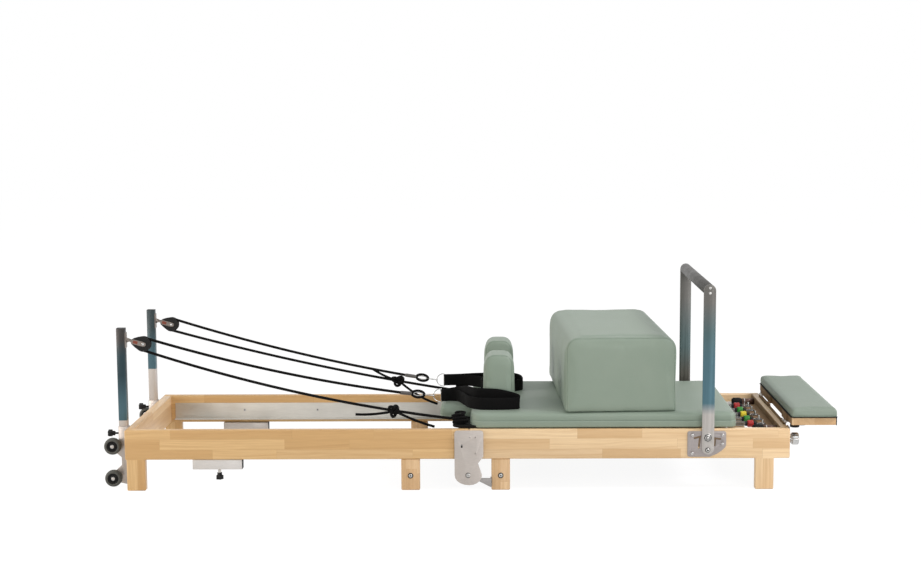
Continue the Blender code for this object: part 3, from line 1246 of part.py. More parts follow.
def build_platform():
    """The standing platform's board and pad, and the brackets that hold it up on the end board."""
    half = HALF_WIDTH - PLATFORM_INSET
    xs = (PLATFORM_X, PLATFORM_X + PLATFORM_DEPTH)
    board_top = PLATFORM_Z + PLATFORM_BOARD_THICKNESS
    board = block(
        "platform_board", xs, (-half, half), (PLATFORM_Z, board_top), platform, WOOD, WOOD_EDGE / 2
    )
    third = PLATFORM_HINGE_WIDTH / 3
    for side_name, side in SIDES:
        for i in (-1, 1):
            start = side * PLATFORM_HINGE_Y + i * (third / 2 + FIT)
            barrel = rod(
                f"platform_knuckle_{side_name}_{i + 1}", (PLATFORM_AXIS_X, start, PLATFORM_AXIS_Z),
                i * third, KNUCKLE_RADIUS, "Y", platform
            )
            leaf_top = PLATFORM_AXIS_Z + KNUCKLE_RADIUS
            leaf = block(
                f"platform_leaf_{side_name}_{i + 1}", (PLATFORM_AXIS_X, PLATFORM_X + PLATFORM_LEAF),
                (start, start + i * third), (leaf_top - PLATFORM_LEAF_WALL, leaf_top), platform
            )
            join(board, leaf, barrel)
        bumper = rod(
            f"platform_bumper_{side_name}",
            (PLATFORM_X + BUMPER_FROM_EDGE, side * (half - BUMPER_INSET), PLATFORM_Z + BITE),
            -BUMPER_HEIGHT - BITE, BUMPER_RADIUS, "Z", platform
        )
        join(board, bumper)
        y = side * (HALF_WIDTH - STAY_INSET)
        stay = block(
            f"platform_bracket_{side_name}", (FRAME_LENGTH + FIT, FRAME_LENGTH + FIT + STAY_WALL),
            (y - STAY_WIDTH / 2, y + STAY_WIDTH / 2), (STAY_BOTTOM, STAY_BOTTOM + STAY_HEIGHT),
            foot_frame, STEEL, STAY_WALL / 4
        )
        stem_start = FRAME_LENGTH + FIT + STAY_WALL - BITE
        stem = rod(
            f"stay_stem_{side_name}", (stem_start, y, STAY_KNOB_HEIGHT), STAY_KNOB_STAND_OFF + BITE * 2,
            THICK_STEM_RADIUS, "X", foot_frame
        )
        knob = plate(
            f"stay_knob_{side_name}", [star(STAY_KNOB_RADIUS, STAY_KNOB_FLUTES, STAR_DEPTH / 2, 3)],
            (0, STAY_KNOB_LENGTH), "X", foot_frame, None,
            (stem_start + STAY_KNOB_STAND_OFF, y, STAY_KNOB_HEIGHT)
        )
        join(stay, stem, knob)
    pad_half = half - PLATFORM_PAD_SETBACK
    pad_bottom = board_top + FIT
    block(
        "platform_pad", (xs[0] + PLATFORM_PAD_SETBACK, xs[1] - PLATFORM_PAD_SETBACK), (-pad_half, pad_half),
        (pad_bottom, pad_bottom + PLATFORM_PAD_THICKNESS), platform, VINYL, PLATFORM_CORNER, 2
    )


build_rails()
build_mid_legs()
build_end_boards()
build_fold_hinges()
build_head_end()
build_storage_sockets()
build_carriage()
build_upholstery()
build_straps()
build_ropes()
build_springs()
build_foot_bar()
build_platform()
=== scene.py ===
# %% [markdown]
# # Folding pilates reformer
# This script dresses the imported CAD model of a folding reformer: a low wooden frame in two
# halves, a sprung carriage with upholstered pads, two ropes over pulleys, a foot bar and a
# standing platform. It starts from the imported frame, adds the pieces and finishes that CAD
# leaves plain, and sets the camera, floor and light of a studio photograph.

# %% Load the frame
import math

import bmesh
import bpy
import numpy as np
from mathutils import Matrix, Vector
from mathutils.bvhtree import BVHTree
from mathutils.kdtree import KDTree


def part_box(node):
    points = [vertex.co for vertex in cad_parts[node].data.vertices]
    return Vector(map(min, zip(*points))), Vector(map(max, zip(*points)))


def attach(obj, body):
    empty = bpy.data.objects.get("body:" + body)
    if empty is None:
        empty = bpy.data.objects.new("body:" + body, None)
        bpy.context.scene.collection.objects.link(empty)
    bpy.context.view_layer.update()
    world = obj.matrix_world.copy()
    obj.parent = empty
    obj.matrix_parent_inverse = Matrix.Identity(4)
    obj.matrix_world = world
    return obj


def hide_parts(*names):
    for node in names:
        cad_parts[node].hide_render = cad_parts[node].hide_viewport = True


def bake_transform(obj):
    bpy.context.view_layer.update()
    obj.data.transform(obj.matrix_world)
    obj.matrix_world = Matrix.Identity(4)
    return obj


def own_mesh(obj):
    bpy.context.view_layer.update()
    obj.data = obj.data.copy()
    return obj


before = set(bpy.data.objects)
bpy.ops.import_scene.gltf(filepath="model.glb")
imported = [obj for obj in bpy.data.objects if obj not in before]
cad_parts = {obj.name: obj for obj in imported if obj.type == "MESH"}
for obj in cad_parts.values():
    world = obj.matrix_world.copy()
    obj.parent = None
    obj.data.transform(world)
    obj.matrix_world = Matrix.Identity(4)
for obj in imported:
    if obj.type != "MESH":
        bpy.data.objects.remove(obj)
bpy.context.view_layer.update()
scene = bpy.context.scene
PIECES = bpy.data.collections.new("dressed_pieces")
scene.collection.children.link(PIECES)
HEAD_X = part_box("head_rail_near")[0][0]
MID_Y = (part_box("carriage_board")[0][1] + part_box("carriage_board")[1][1]) / 2


def at(x, y, z):
    """A point of the frame from the drawing: x from the head end, y from the middle, z up."""
    return Vector((HEAD_X + x, MID_Y + y, z))


def set_all(thing, **values):
    """Sets a thing's attributes by name, and gives the thing back."""
    for key, value in values.items():
        setattr(thing, key, value)
    return thing


def new_object(name, data, home=scene.collection):
    """An object with its data, linked in a collection."""
    made = bpy.data.objects.new(name, data)
    home.objects.link(made)
    return made


ORIGIN = at(0, 0, 0)
SIDES = (("near", -1), ("far", 1))


# %% [markdown]
# ## Camera, floor and light
# The camera stands low and far off, as a product photographer's does, so the long frame
# stays nearly parallel. A broad lamp high on the right is the key light. Two softer ones, low
# on the left and in front, fill the shaded sides, the left one a little warm. A white room
# round them keeps the colours near their written values and the shadows soft.

# %% Camera, floor and light
FRAME_PIXELS = 921
FOCAL_PIXELS = 1597.99
SHIFT_PIXELS = -36.27
SENSOR = 36
CAMERA_PLACE = (0.0998, -5.9245, 1.3748)
CAMERA_DIP = 6.9559
CAMERA_ROLL = -0.1599
camera_data = bpy.data.cameras.new("camera")
camera_data.sensor_width = SENSOR
camera_data.lens = FOCAL_PIXELS * SENSOR / FRAME_PIXELS
camera_data.shift_x = SHIFT_PIXELS / FRAME_PIXELS
camera = new_object("camera", camera_data)
camera.matrix_world = (
    Matrix.Translation(CAMERA_PLACE)
    @ Matrix.Rotation(math.radians(90 - CAMERA_DIP), 4, "X")
    @ Matrix.Rotation(math.radians(CAMERA_ROLL), 4, "Z")
)
scene.camera = camera
scene.view_settings.view_transform = "Standard"


def put(tree, kind, inputs=None, **settings):
    """Adds a node, with settings by attribute and inputs by name or number."""
    made = set_all(tree.nodes.new(kind), **settings)
    for key, value in (inputs or {}).items():
        if isinstance(value, bpy.types.NodeSocket):
            tree.links.new(value, made.inputs[key])
        else:
            made.inputs[key].default_value = value
    return made


def math_node(tree, operation, *values):
    """Arithmetic on numbers and sockets; a value may be a step too, as (operation, *values)."""
    values = [math_node(tree, *value) if isinstance(value, tuple) else value for value in values]
    return put(tree, "ShaderNodeMath", dict(enumerate(values)), operation=operation).outputs[0]


def bare_tree(owner):
    """The node tree of a world or material, with nothing in it."""
    owner.use_nodes = True
    owner.node_tree.nodes.clear()
    return owner.node_tree


def end_tree(tree, output, lit, seen):
    """Ends a tree with a shader for light and one for what is seen, mirrored or through glass too."""
    path = put(tree, "ShaderNodeLightPath").outputs
    is_seen = math_node(tree, "MAXIMUM", ("MAXIMUM", path["Is Camera Ray"], path["Is Glossy Ray"]),
                        path["Is Transmission Ray"])
    choice = put(tree, "ShaderNodeMixShader", {0: is_seen, 1: lit.outputs[0], 2: seen.outputs[0]})
    put(tree, output, {0: choice.outputs[0]})


scene.world = bpy.data.worlds.new("white_room")
tree = bare_tree(scene.world)
light_level = put(tree, "ShaderNodeBackground", {"Color": (1, 0.995, 0.985, 1), "Strength": 0.50})
seen_level = put(tree, "ShaderNodeBackground", {"Color": (1, 1, 1, 1), "Strength": 1.0})
end_tree(tree, "ShaderNodeOutputWorld", light_level, seen_level)

floor_mesh = bpy.data.meshes.new("floor")
floor_mesh.from_pydata([(-14, -9, 0), (14, -9, 0), (14, 16, 0), (-14, 16, 0)], [], [(0, 1, 2, 3)])
floor = new_object("floor", floor_mesh)
floor.location.z = -0.0005
floor_paint = bpy.data.materials.new("floor_paint")
tree = bare_tree(floor_paint)
plain = put(tree, "ShaderNodeBsdfDiffuse", {"Color": (0.80, 0.79, 0.77, 1)})
shaded = put(tree, "ShaderNodeBsdfDiffuse", {"Color": (0.16, 0.16, 0.16, 1)})
glow = put(tree, "ShaderNodeEmission", {"Color": (1, 1, 1, 1), "Strength": 0.92})
bright = put(tree, "ShaderNodeAddShader", {0: shaded.outputs[0], 1: glow.outputs[0]})
end_tree(tree, "ShaderNodeOutputMaterial", plain, bright)
floor_mesh.materials.append(floor_paint)


def lamp(name, place, target, size, watts, tint=(1, 1, 1)):
    """A rectangular lamp at a place, turned towards a target."""
    data = set_all(bpy.data.lights.new(name, "AREA"), shape="RECTANGLE", size=size[0], size_y=size[1],
                   energy=watts, color=tint)
    toward = Vector(target) - Vector(place)
    turn = toward.to_track_quat("-Z", "Y").to_matrix().to_4x4()
    new_object(name, data).matrix_world = Matrix.Translation(place) @ turn


lamp("key_lamp_right", (4.3, -1.4, 4.3), (0.2, 0, 0.2), (1.7, 1.3), 182, (1.0, 0.935, 0.98))
lamp("soft_lamp_left", (-3.4, -0.9, 1.0), (0, 0, 0.3), (1.8, 1.0), 44, (1.0, 0.90, 0.83))
lamp("soft_lamp_front", (2.4, -4.8, 2.2), (0.3, 0, 0.3), (3.0, 2.0), 56)
print("camera lens", round(camera_data.lens, 2), "mm")


# %% [markdown]
# ## Finishes
# Nearly every finish is worked out from the place on the object, in metres, so it has no
# stretch and needs no unwrapping. Wood is a glued panel of short staves: each stave gets its
# own tone and its own stretch of grain. Steel, vinyl and rubber get their colour variation
# and fine relief from noise at the size of the real grain. Webbing and rope follow their own
# length instead, by the map that the sweep below gives them.

# %% Finishes
def new_finish(name, slot_name, colour, roughness, metallic=0.0, **sockets):
    """A Principled material whose even values are set on the shader's own sockets."""
    made = bpy.data.materials.new(name)
    made.use_nodes = True
    made["slot"] = slot_name
    shader = made.node_tree.nodes["Principled BSDF"]
    shader.inputs["Base Color"].default_value = (*colour, 1)
    shader.inputs["Roughness"].default_value = roughness
    shader.inputs["Metallic"].default_value = metallic
    for key, value in sockets.items():
        shader.inputs[key.replace("_", " ")].default_value = value
    return made


def place_of(tree):
    """The shaded point's own place on the object, in metres."""
    return put(tree, "ShaderNodeTexCoord").outputs["Object"]


def scaled(tree, vector, scale):
    """A place stretched by its own factor on each axis."""
    return put(tree, "ShaderNodeVectorMath", {0: vector, 1: scale}, operation="MULTIPLY").outputs[0]


def noise_of(tree, vector, scale, detail, roughness=0.5):
    """Cloudy noise between 0 and 1."""
    return put(
        tree, "ShaderNodeTexNoise",
        {"Vector": vector, "Scale": scale, "Detail": detail, "Roughness": roughness}
    ).outputs["Fac"]


def blended(tree, factor, first, second):
    """A colour between two colours, each a socket or plain numbers."""
    mix = put(tree, "ShaderNodeMix", {0: factor}, data_type="RGBA")
    for index, colour in ((6, first), (7, second)):
        if isinstance(colour, bpy.types.NodeSocket):
            tree.links.new(colour, mix.inputs[index])
        else:
            mix.inputs[index].default_value = (*colour, 1)
    return mix.outputs[2]


def spread(tree, value, low, high, start=0.0, end=1.0):
    """A value's range from low to high, stretched to run from start to end."""
    return put(
        tree, "ShaderNodeMapRange",
        {"Value": value, "From Min": low, "From Max": high, "To Min": start, "To Max": end}
    ).outputs[0]


def finish_up(made, colour, roughness=None, *, height, depth, strength):
    """Links colour, roughness and relief to the shader."""
    tree = made.node_tree
    shader = tree.nodes["Principled BSDF"]
    tree.links.new(colour, shader.inputs["Base Color"])
    if roughness is not None:
        tree.links.new(roughness, shader.inputs["Roughness"])
    bump = put(tree, "ShaderNodeBump", {"Height": height, "Distance": depth, "Strength": strength})
    tree.links.new(bump.outputs[0], shader.inputs["Normal"])
    return made


WOOD_TONES = ((0.70, 0.465, 0.240), (0.96, 0.750, 0.490), (0.86, 0.630, 0.370), (0.62, 0.390, 0.185))
DARK_GRAIN = (0.56, 0.335, 0.150)
FIBRE_TONE = (0.50, 0.30, 0.14)
JOINT_TONE = (0.40, 0.24, 0.11)
# near-black brown, painted shade for the wood seen through the gate plate's slots
POCKET_SHADE_TONE = (0.09, 0.045, 0.020)


def stave_wood(tree, along, across, deep, stave=0.037, length=0.34):
    """Colour and relief of glued staves: rows across, each cut into blocks along."""
    row = math_node(tree, "FLOOR", ("DIVIDE", across, stave))
    start = put(tree, "ShaderNodeTexWhiteNoise", {"W": row}, noise_dimensions="1D").outputs["Value"]
    swing = math_node(tree, "SINE", ("MULTIPLY_ADD", along, 8.0, ("MULTIPLY", row, 4.3)))
    run = math_node(tree, "MULTIPLY_ADD", start, 7.3, ("DIVIDE", along, length))
    run = math_node(tree, "MULTIPLY_ADD", swing, 0.22, run)
    block = math_node(tree, "FLOOR", run)
    seed = put(tree, "ShaderNodeCombineXYZ", {0: row, 1: block}).outputs[0]
    chance = put(tree, "ShaderNodeTexWhiteNoise", {"Vector": seed}, noise_dimensions="3D")
    tone = chance.outputs["Value"]
    ramp = put(tree, "ShaderNodeValToRGB", {0: tone})
    stops = ramp.color_ramp.elements
    stops[0].color = (*WOOD_TONES[0], 1)
    stops[1].color = (*WOOD_TONES[1], 1)
    stops.new(0.35).color = (*WOOD_TONES[2], 1)
    stops.new(0.90).color = (*WOOD_TONES[3], 1)
    place = put(tree, "ShaderNodeCombineXYZ", {0: along, 1: across, 2: deep}).outputs[0]
    place = put(
        tree, "ShaderNodeVectorMath", {0: chance.outputs["Color"], 1: (9, 9, 9), 2: place},
        operation="MULTIPLY_ADD"
    ).outputs[0]
    bend = noise_of(tree, scaled(tree, place, (2.2, 9, 9)), 1.0, 2.0)
    grain_place = scaled(tree, place, (1.8, 95, 95))
    bent = put(tree, "ShaderNodeCombineXYZ", {1: math_node(tree, "MULTIPLY", bend, 5.0)}).outputs[0]
    grain_place = put(tree, "ShaderNodeVectorMath", {0: grain_place, 1: bent}, operation="ADD").outputs[0]
    grain = noise_of(tree, grain_place, 1.0, 3.0, 0.62)
    fibre = noise_of(tree, scaled(tree, place, (14, 620, 620)), 1.0, 2.0)
    dark = blended(tree, spread(tree, grain, 0.42, 0.72), ramp.outputs[0], DARK_GRAIN)
    dark_mix = blended(tree, 0.55, ramp.outputs[0], dark)
    colour = blended(tree, spread(tree, fibre, 0.35, 0.75, 0.0, 0.30), dark_mix, FIBRE_TONE)
    across_share = math_node(tree, "FRACT", ("DIVIDE", across, stave))
    near_row = math_node(tree, "LESS_THAN", across_share, 0.012)
    near_end = math_node(tree, "LESS_THAN", ("FRACT", run), 0.0022)
    joint = math_node(tree, "MULTIPLY", ("MAXIMUM", near_row, near_end), 0.35)
    colour = blended(tree, joint, colour, JOINT_TONE)
    relief = math_node(tree, "SUBTRACT", ("MULTIPLY_ADD", grain, 0.5, fibre), joint)
    return colour, relief


def wood(name, along, across, leg_below=None, painted_shade=None, tint=None, painted_pocket_shade=None):
    """Lacquered panel wood with its staves along one axis; below a height its legs stand upright. A tint
    that lightens it is painted light and one that darkens it painted shade; a painted shade tone covers it
    all, and a box of painted shade darkens it in one place.
    """
    coat = {"Specular_IOR_Level": 0.12} if painted_shade else {"Coat_Weight": 0.15, "Coat_Roughness": 0.25}
    made = new_finish(name, "pale_hardwood", (0.7, 0.47, 0.25), 0.8 if painted_shade else 0.42, **coat)
    tree = made.node_tree
    parts = put(tree, "ShaderNodeSeparateXYZ", {0: place_of(tree)}).outputs
    axes = {"X": parts[0], "Y": parts[1], "Z": parts[2]}
    deep = [axis for axis in "XYZ" if axis not in (along, across)][0]
    colour, relief = stave_wood(tree, axes[along], axes[across], axes[deep])
    if leg_below is not None:
        leg_colour, leg_relief = stave_wood(tree, axes["Z"], axes["X"], axes["Y"], stave=0.0335, length=0.6)
        is_leg = math_node(tree, "LESS_THAN", axes["Z"], leg_below)
        colour = blended(tree, is_leg, colour, leg_colour)
        relief = put(tree, "ShaderNodeMix", {0: is_leg, 2: relief, 3: leg_relief}).outputs[0]
    # a tint multiplies the colour: where it darkens the wood it is painted shade, where it lightens it
    # painted light
    if tint:
        colour = put(tree, "ShaderNodeMix", {0: 1.0, 6: colour, 7: (*tint, 1)}, data_type="RGBA",
                     blend_type="MULTIPLY").outputs[2]
    # inside a box the wood is darkened as painted shade, behind the gate plate's slots
    if painted_pocket_shade:
        inside = 1.0
        for axis, low, high in painted_pocket_shade:
            inside = math_node(tree, "MULTIPLY", inside, ("GREATER_THAN", axes[axis], low))
            inside = math_node(tree, "MULTIPLY", inside, ("LESS_THAN", axes[axis], high))
        colour = blended(tree, math_node(tree, "MULTIPLY", inside, 0.80), colour, POCKET_SHADE_TONE)
    # painted shade: a dark brown laid over the whole wood
    if painted_shade:
        colour = blended(tree, 0.80, colour, painted_shade)
    return finish_up(made, colour, height=relief, depth=0.0004, strength=0.35)


LEG_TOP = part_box("head_mid_leg_frame")[1][2]
# the box of painted shade behind the gate plate's slots
GATE_SLOT_SHADE_BOX = (("X", HEAD_X + 2.003, HEAD_X + 2.108), ("Z", 0.154, 0.204))
# the head half's rail wood is tinted darker and warmer as painted shade, the foot half's lighter as painted
# light, for the key lamp on the right
RAIL_WOOD = {
    "head": wood("head_rail_wood_painted_shade", "X", "Z", LEG_TOP, tint=(0.94, 0.885, 0.715)),
    "foot": wood("foot_rail_wood_painted_light_and_shade", "X", "Z", LEG_TOP, tint=(1.13, 1.19, 1.24), painted_pocket_shade=GATE_SLOT_SHADE_BOX),
}
BOARD_WOOD = wood("board_wood", "Y", "Z")
MID_LEG_WOOD = wood("mid_leg_wood", "Z", "X")
PLATFORM_WOOD = wood("platform_wood", "Y", "X")
# dark brown wood as painted shade, for the faces in shade round the gap at the foot end
PAINTED_SHADE_WOOD = wood("painted_shade_wood", "Y", "Z", painted_shade=(0.150, 0.088, 0.052))


def steel(name, colour, roughness, metallic, brush, slot_name="satin_steel"):
    """Brushed or powder-coated steel: fine streaks, cloudy colour, small changes of gloss."""
    made = new_finish(name, slot_name, colour, roughness, metallic)
    tree = made.node_tree
    place = place_of(tree)
    streak = noise_of(tree, scaled(tree, place, brush), 1.0, 2.0)
    cloud = noise_of(tree, place, 14.0, 3.0)
    darker = tuple(c * 0.86 for c in colour)
    shade = math_node(tree, "MULTIPLY_ADD", streak, 0.5, ("MULTIPLY", cloud, 0.5))
    tone = blended(tree, spread(tree, shade, 0.35, 0.65), darker, colour)
    gloss = spread(tree, cloud, 0.3, 0.7, roughness - 0.06, roughness + 0.07)
    return finish_up(made, tone, gloss, height=streak, depth=0.0002, strength=0.15)


PLATE_STEEL = steel("plate_steel", (0.54, 0.495, 0.455), 0.45, 0.55, (60, 60, 900))
GATE_STEEL = steel("gate_steel", (0.39, 0.355, 0.345), 0.45, 0.55, (60, 60, 900))
LINK_STEEL = steel("link_steel", (0.26, 0.225, 0.20), 0.35, 0.8, (400, 400, 400), "chrome")
# darker steel as painted shade, for the hinge's arm and inner plate and the hinge screws' sockets
SHADED_ARM_STEEL = steel("arm_steel_painted_shade", (0.36, 0.345, 0.335), 0.45, 0.6, (60, 60, 900))
BOLT_STEEL = steel("bolt_steel", (0.50, 0.49, 0.47), 0.30, 1.0, (400, 400, 400), "chrome")
CHROME = steel("chrome", (0.56, 0.56, 0.55), 0.20, 1.0, (200, 200, 200), "chrome")
TRACK_METAL = steel("track_metal", (0.63, 0.62, 0.57), 0.40, 0.35, (30, 900, 900), "aluminium")
SPRING_STEEL = steel("spring_steel", (0.20, 0.195, 0.19), 0.28, 1.0, (600, 600, 600), "chrome")


def two_tone(name, upper, lower, edge, painted_reflection_fades, soft=0.0005):
    """A bar of one tone above a height and another below; higher up it fades to further tones, which are
    painted reflection and shade.
    """
    made = new_finish(name, "satin_steel", upper, roughness=0.38, metallic=0.35)
    tree = made.node_tree
    place = place_of(tree)
    height = put(tree, "ShaderNodeSeparateXYZ", {0: place}).outputs[2]
    streak = noise_of(tree, scaled(tree, place, (700, 700, 9)), 1.0, 2.0)
    cloud = noise_of(tree, place, 9.0, 2.0)
    tone = blended(tree, spread(tree, cloud, 0.35, 0.65), tuple(c * 0.88 for c in upper), upper)
    # the further tones higher up the bar are painted reflection and shade
    for colour, start, end in painted_reflection_fades:
        tone = blended(tree, spread(tree, height, start, end), tone, colour)
    tone = blended(tree, spread(tree, streak, 0.4, 0.7, 0.0, 0.12), tone, tuple(c * 0.5 for c in upper))
    tone = blended(tree, spread(tree, height, edge, edge + soft), lower, tone)
    gloss = spread(tree, cloud, 0.3, 0.7, 0.30, 0.44)
    return finish_up(made, tone, gloss, height=streak, depth=0.0002, strength=0.12)


TEAL = (0.062, 0.138, 0.172)
PALE = (0.58, 0.54, 0.50)
GREY = (0.150, 0.143, 0.130)
RISER_PAINT = {
    "near": two_tone("riser_paint_near", TEAL, PALE, 0.237,
                     (((0.012, 0.036, 0.046), 0.28, 0.40), ((0.034, 0.029, 0.027), 0.47, 0.53))),
    "far": two_tone("riser_paint_far", TEAL, PALE, 0.339, (((0.020, 0.036, 0.040), 0.38, 0.50),)),
}
BAR_PAINT = {
    "near": two_tone("foot_bar_paint_near", (0.070, 0.160, 0.200), (0.45, 0.43, 0.405), 0.272,
                     (((0.070, 0.130, 0.140), 0.46, 0.56), (GREY, 0.56, 0.67)), soft=0.040),
    # the far upright's darker, greyer tones above and below are painted shade
    "far": two_tone("foot_bar_paint_far_painted_shade", (0.100, 0.150, 0.155), (0.120, 0.112, 0.098), 0.300,
                    (((0.140, 0.135, 0.125), 0.44, 0.60),), soft=0.10),
}
TUBE_PAINT = steel("cross_tube_paint", (0.056, 0.053, 0.047), 0.46, 0.4, (20, 20, 700))


VINYL_TONES = ((0.224, 0.294, 0.229), (0.256, 0.322, 0.256))
PEBBLE_TONE = (0.33, 0.39, 0.33)


def vinyl(name, shade):
    """Soft upholstery vinyl: pebbled grain, slow changes of tone, a little sheen; a shade under 1 darkens
    its tones as painted shade.
    """
    made = new_finish(name, "sage_vinyl", (0.24, 0.305, 0.24), 0.50, Sheen_Weight=0.08, Sheen_Roughness=0.4)
    tree = made.node_tree
    place = place_of(tree)
    cloud = noise_of(tree, place, 6.0, 3.0)
    tones = [tuple(c * shade for c in tone) for tone in VINYL_TONES]
    tone = blended(tree, spread(tree, cloud, 0.3, 0.7), *tones)
    pebble = put(
        tree, "ShaderNodeTexVoronoi", {"Vector": place, "Scale": 620.0}, feature="SMOOTH_F1"
    ).outputs["Distance"]
    fine = noise_of(tree, place, 1500.0, 2.0)
    relief = math_node(tree, "MULTIPLY_ADD", fine, 0.4, pebble)
    tone = blended(tree, spread(tree, pebble, 0.15, 0.6, 0.0, 0.10), tone, PEBBLE_TONE)
    gloss = spread(tree, cloud, 0.3, 0.7, 0.46, 0.58)
    return finish_up(made, tone, gloss, height=relief, depth=0.0006, strength=0.28)


def dull(name, slot_name, colour, roughness, grain, **sockets):
    """Rubber, plastic and painted board: even colour with fine mottling and relief."""
    made = new_finish(name, slot_name, colour, roughness, **sockets)
    tree = made.node_tree
    place = place_of(tree)
    cloud = noise_of(tree, place, 30.0, 3.0)
    fine = noise_of(tree, place, grain, 2.0)
    darker = tuple(c * 0.8 for c in colour)
    lighter = tuple(min(1, c * 1.18) for c in colour)
    tone = blended(tree, spread(tree, cloud, 0.3, 0.7), darker, lighter)
    gloss = spread(tree, fine, 0.3, 0.7, roughness - 0.07, roughness + 0.07)
    return finish_up(made, tone, gloss, height=fine, depth=0.0004, strength=0.4)


VINYL = vinyl("sage_vinyl", 1.0)
# the platform pad's vinyl is made darker as painted shade
PLATFORM_VINYL_SHADED = vinyl("platform_vinyl_painted_shade", 0.84)
TYRE = dull("grey_tyre", "grey_tyre", (0.075, 0.078, 0.070), 0.62, 900)
BLACK_PLASTIC = dull("black_plastic", "black_plastic", (0.012, 0.012, 0.012), 0.50, 700,
                     Specular_IOR_Level=0.2)
BLACK_BOARD = dull("black_board", "black_board", (0.008, 0.008, 0.007), 0.65, 500, Specular_IOR_Level=0.12)
RUBBER = dull("black_rubber", "black_plastic", (0.009, 0.009, 0.009), 0.7, 600, Specular_IOR_Level=0.15)
NYLON = dull("roller_nylon", "grey_tyre", (0.30, 0.30, 0.29), 0.4, 500)
GRIPS = {
    "red": dull("red_grip", "red_grip", (0.42, 0.012, 0.010), 0.45, 500),
    "green": dull("green_grip", "green_grip", (0.018, 0.21, 0.014), 0.45, 500),
    "yellow": dull("yellow_grip", "yellow_grip", (0.62, 0.50, 0.012), 0.45, 500),
}
# brighter steel as painted light, for the near storage socket, which is lit more than the far one
LIT_SOCKET_STEEL = steel("socket_steel_painted_light", (0.72, 0.70, 0.67), 0.45, 0.2, (60, 60, 900))
STOP_BROWN = steel("stop_brown", (0.10, 0.055, 0.038), 0.4, 0.5, (300, 300, 300), "black_plastic")
COPPER = steel("copper_bush", (0.25, 0.075, 0.05), 0.35, 0.8, (300, 300, 300), "chrome")


def woven(name, slot_name, colour, pale, across, along, cord=False):
    """Webbing or braided rope, from the piece's own map: u runs round or across, v along in metres."""
    made = new_finish(name, slot_name, colour, 0.80, Sheen_Weight=0.03, Sheen_Roughness=0.5,
                      Specular_IOR_Level=0.08)
    tree = made.node_tree
    uv = put(tree, "ShaderNodeUVMap", uv_map="UVMap").outputs[0]
    parts = put(tree, "ShaderNodeSeparateXYZ", {0: uv}).outputs
    u = math_node(tree, "MULTIPLY", parts[0], across)
    v = math_node(tree, "MULTIPLY", parts[1], along)
    if cord:
        one = math_node(tree, "SINE", ("MULTIPLY", ("ADD", u, v), math.tau))
        two = math_node(tree, "SINE", ("MULTIPLY", ("SUBTRACT", u, v), math.tau))
        relief = math_node(tree, "MAXIMUM", one, two)
    else:
        one = math_node(tree, "SINE", ("MULTIPLY", u, math.tau))
        shifted = math_node(tree, "ADD", v, ("MULTIPLY", ("FLOOR", u), 0.5))
        two = math_node(tree, "SINE", ("MULTIPLY", shifted, math.tau))
        relief = math_node(tree, "MULTIPLY", ("ABSOLUTE", one), spread(tree, two, -1, 1, 0.35, 1.0))
    fuzz = noise_of(tree, place_of(tree), 900.0, 2.0)
    shade = math_node(tree, "MULTIPLY", relief, fuzz)
    tone = blended(tree, spread(tree, shade, 0.1, 0.8), colour, pale)
    relief = math_node(tree, "MULTIPLY_ADD", fuzz, 0.4, relief)
    return finish_up(made, tone, height=relief, depth=0.0006, strength=0.6)


WEBBING = woven("black_webbing", "black_webbing", (0.003, 0.003, 0.003), (0.011, 0.011, 0.011),
                across=26, along=330)
ROPE = woven("black_rope", "black_rope", (0.003, 0.003, 0.003), (0.009, 0.0085, 0.008),
             across=4, along=110, cord=True)
THREAD = dull("sage_thread", "sage_vinyl", (0.20, 0.26, 0.205), 0.6, 1500)
SLEEVE = dull("rope_sleeve", "black_rope", (0.11, 0.105, 0.10), 0.6, 700)
print("finishes", len(bpy.data.materials))


# %% [markdown]
# ## Ways of making a piece
# Four ways cover most of the object. A profile swept along a line makes ropes, straps,
# rings and welts. A profile turned round an axle makes wheels. A copy of a CAD piece with
# its edges eased makes wood and plate catch the light as sanded wood and cut steel do. And
# a closed form blown up as cloth makes a cushion.

# %% Ways of making a piece
UP = Vector((0, 0, 1))
ASIDE = Vector((0, 1, 0))


def add_piece(name, mesh, body, finishes=(), stands_for=()):
    """Puts a mesh in the scene at the origin, riding on a body."""
    made = new_object(name, mesh, PIECES)
    for finish in finishes:
        mesh.materials.append(finish)
    if body:
        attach(made, body)
    if stands_for:
        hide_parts(*stands_for)
    return made


def add_shape(name, shape, body, finishes, stands_for=()):
    """Puts a bmesh in the scene as a piece of its own, with its faces turned outwards."""
    mesh = bpy.data.meshes.new(name)
    bmesh.ops.recalc_face_normals(shape, faces=shape.faces)
    shape.to_mesh(mesh)
    shape.free()
    return add_piece(name, mesh, body, finishes, stands_for)


def settle(obj):
    """Applies an object's modifiers to a mesh of its own."""
    bpy.context.view_layer.update()
    graph = bpy.context.evaluated_depsgraph_get()
    made = bpy.data.meshes.new_from_object(
        obj.evaluated_get(graph), preserve_all_data_layers=True, depsgraph=graph
    )
    obj.modifiers.clear()
    obj.data = made


def smooth_line(points, step, closed=False):
    """A smooth curve through points, as points about a step apart."""
    points = [Vector(p) for p in points]
    count = len(points)
    spans = count if closed else count - 1
    line = []
    for i in range(spans):
        if closed:
            a, b, c, d = (points[(i + k) % count] for k in (-1, 0, 1, 2))
        else:
            b, c = points[i], points[i + 1]
            a = points[i - 1] if i else b * 2 - c
            d = points[i + 2] if i + 2 < count else c * 2 - b
        bend = 2 * a - 5 * b + 4 * c - d
        twist = 3 * b - a - 3 * c + d
        pieces = max(1, round((c - b).length / step))
        for k in range(pieces):
            t = k / pieces
            line.append(0.5 * (2 * b + (c - a) * t + bend * t * t + twist * t ** 3))
    if not closed:
        line.append(points[-1])
    return line


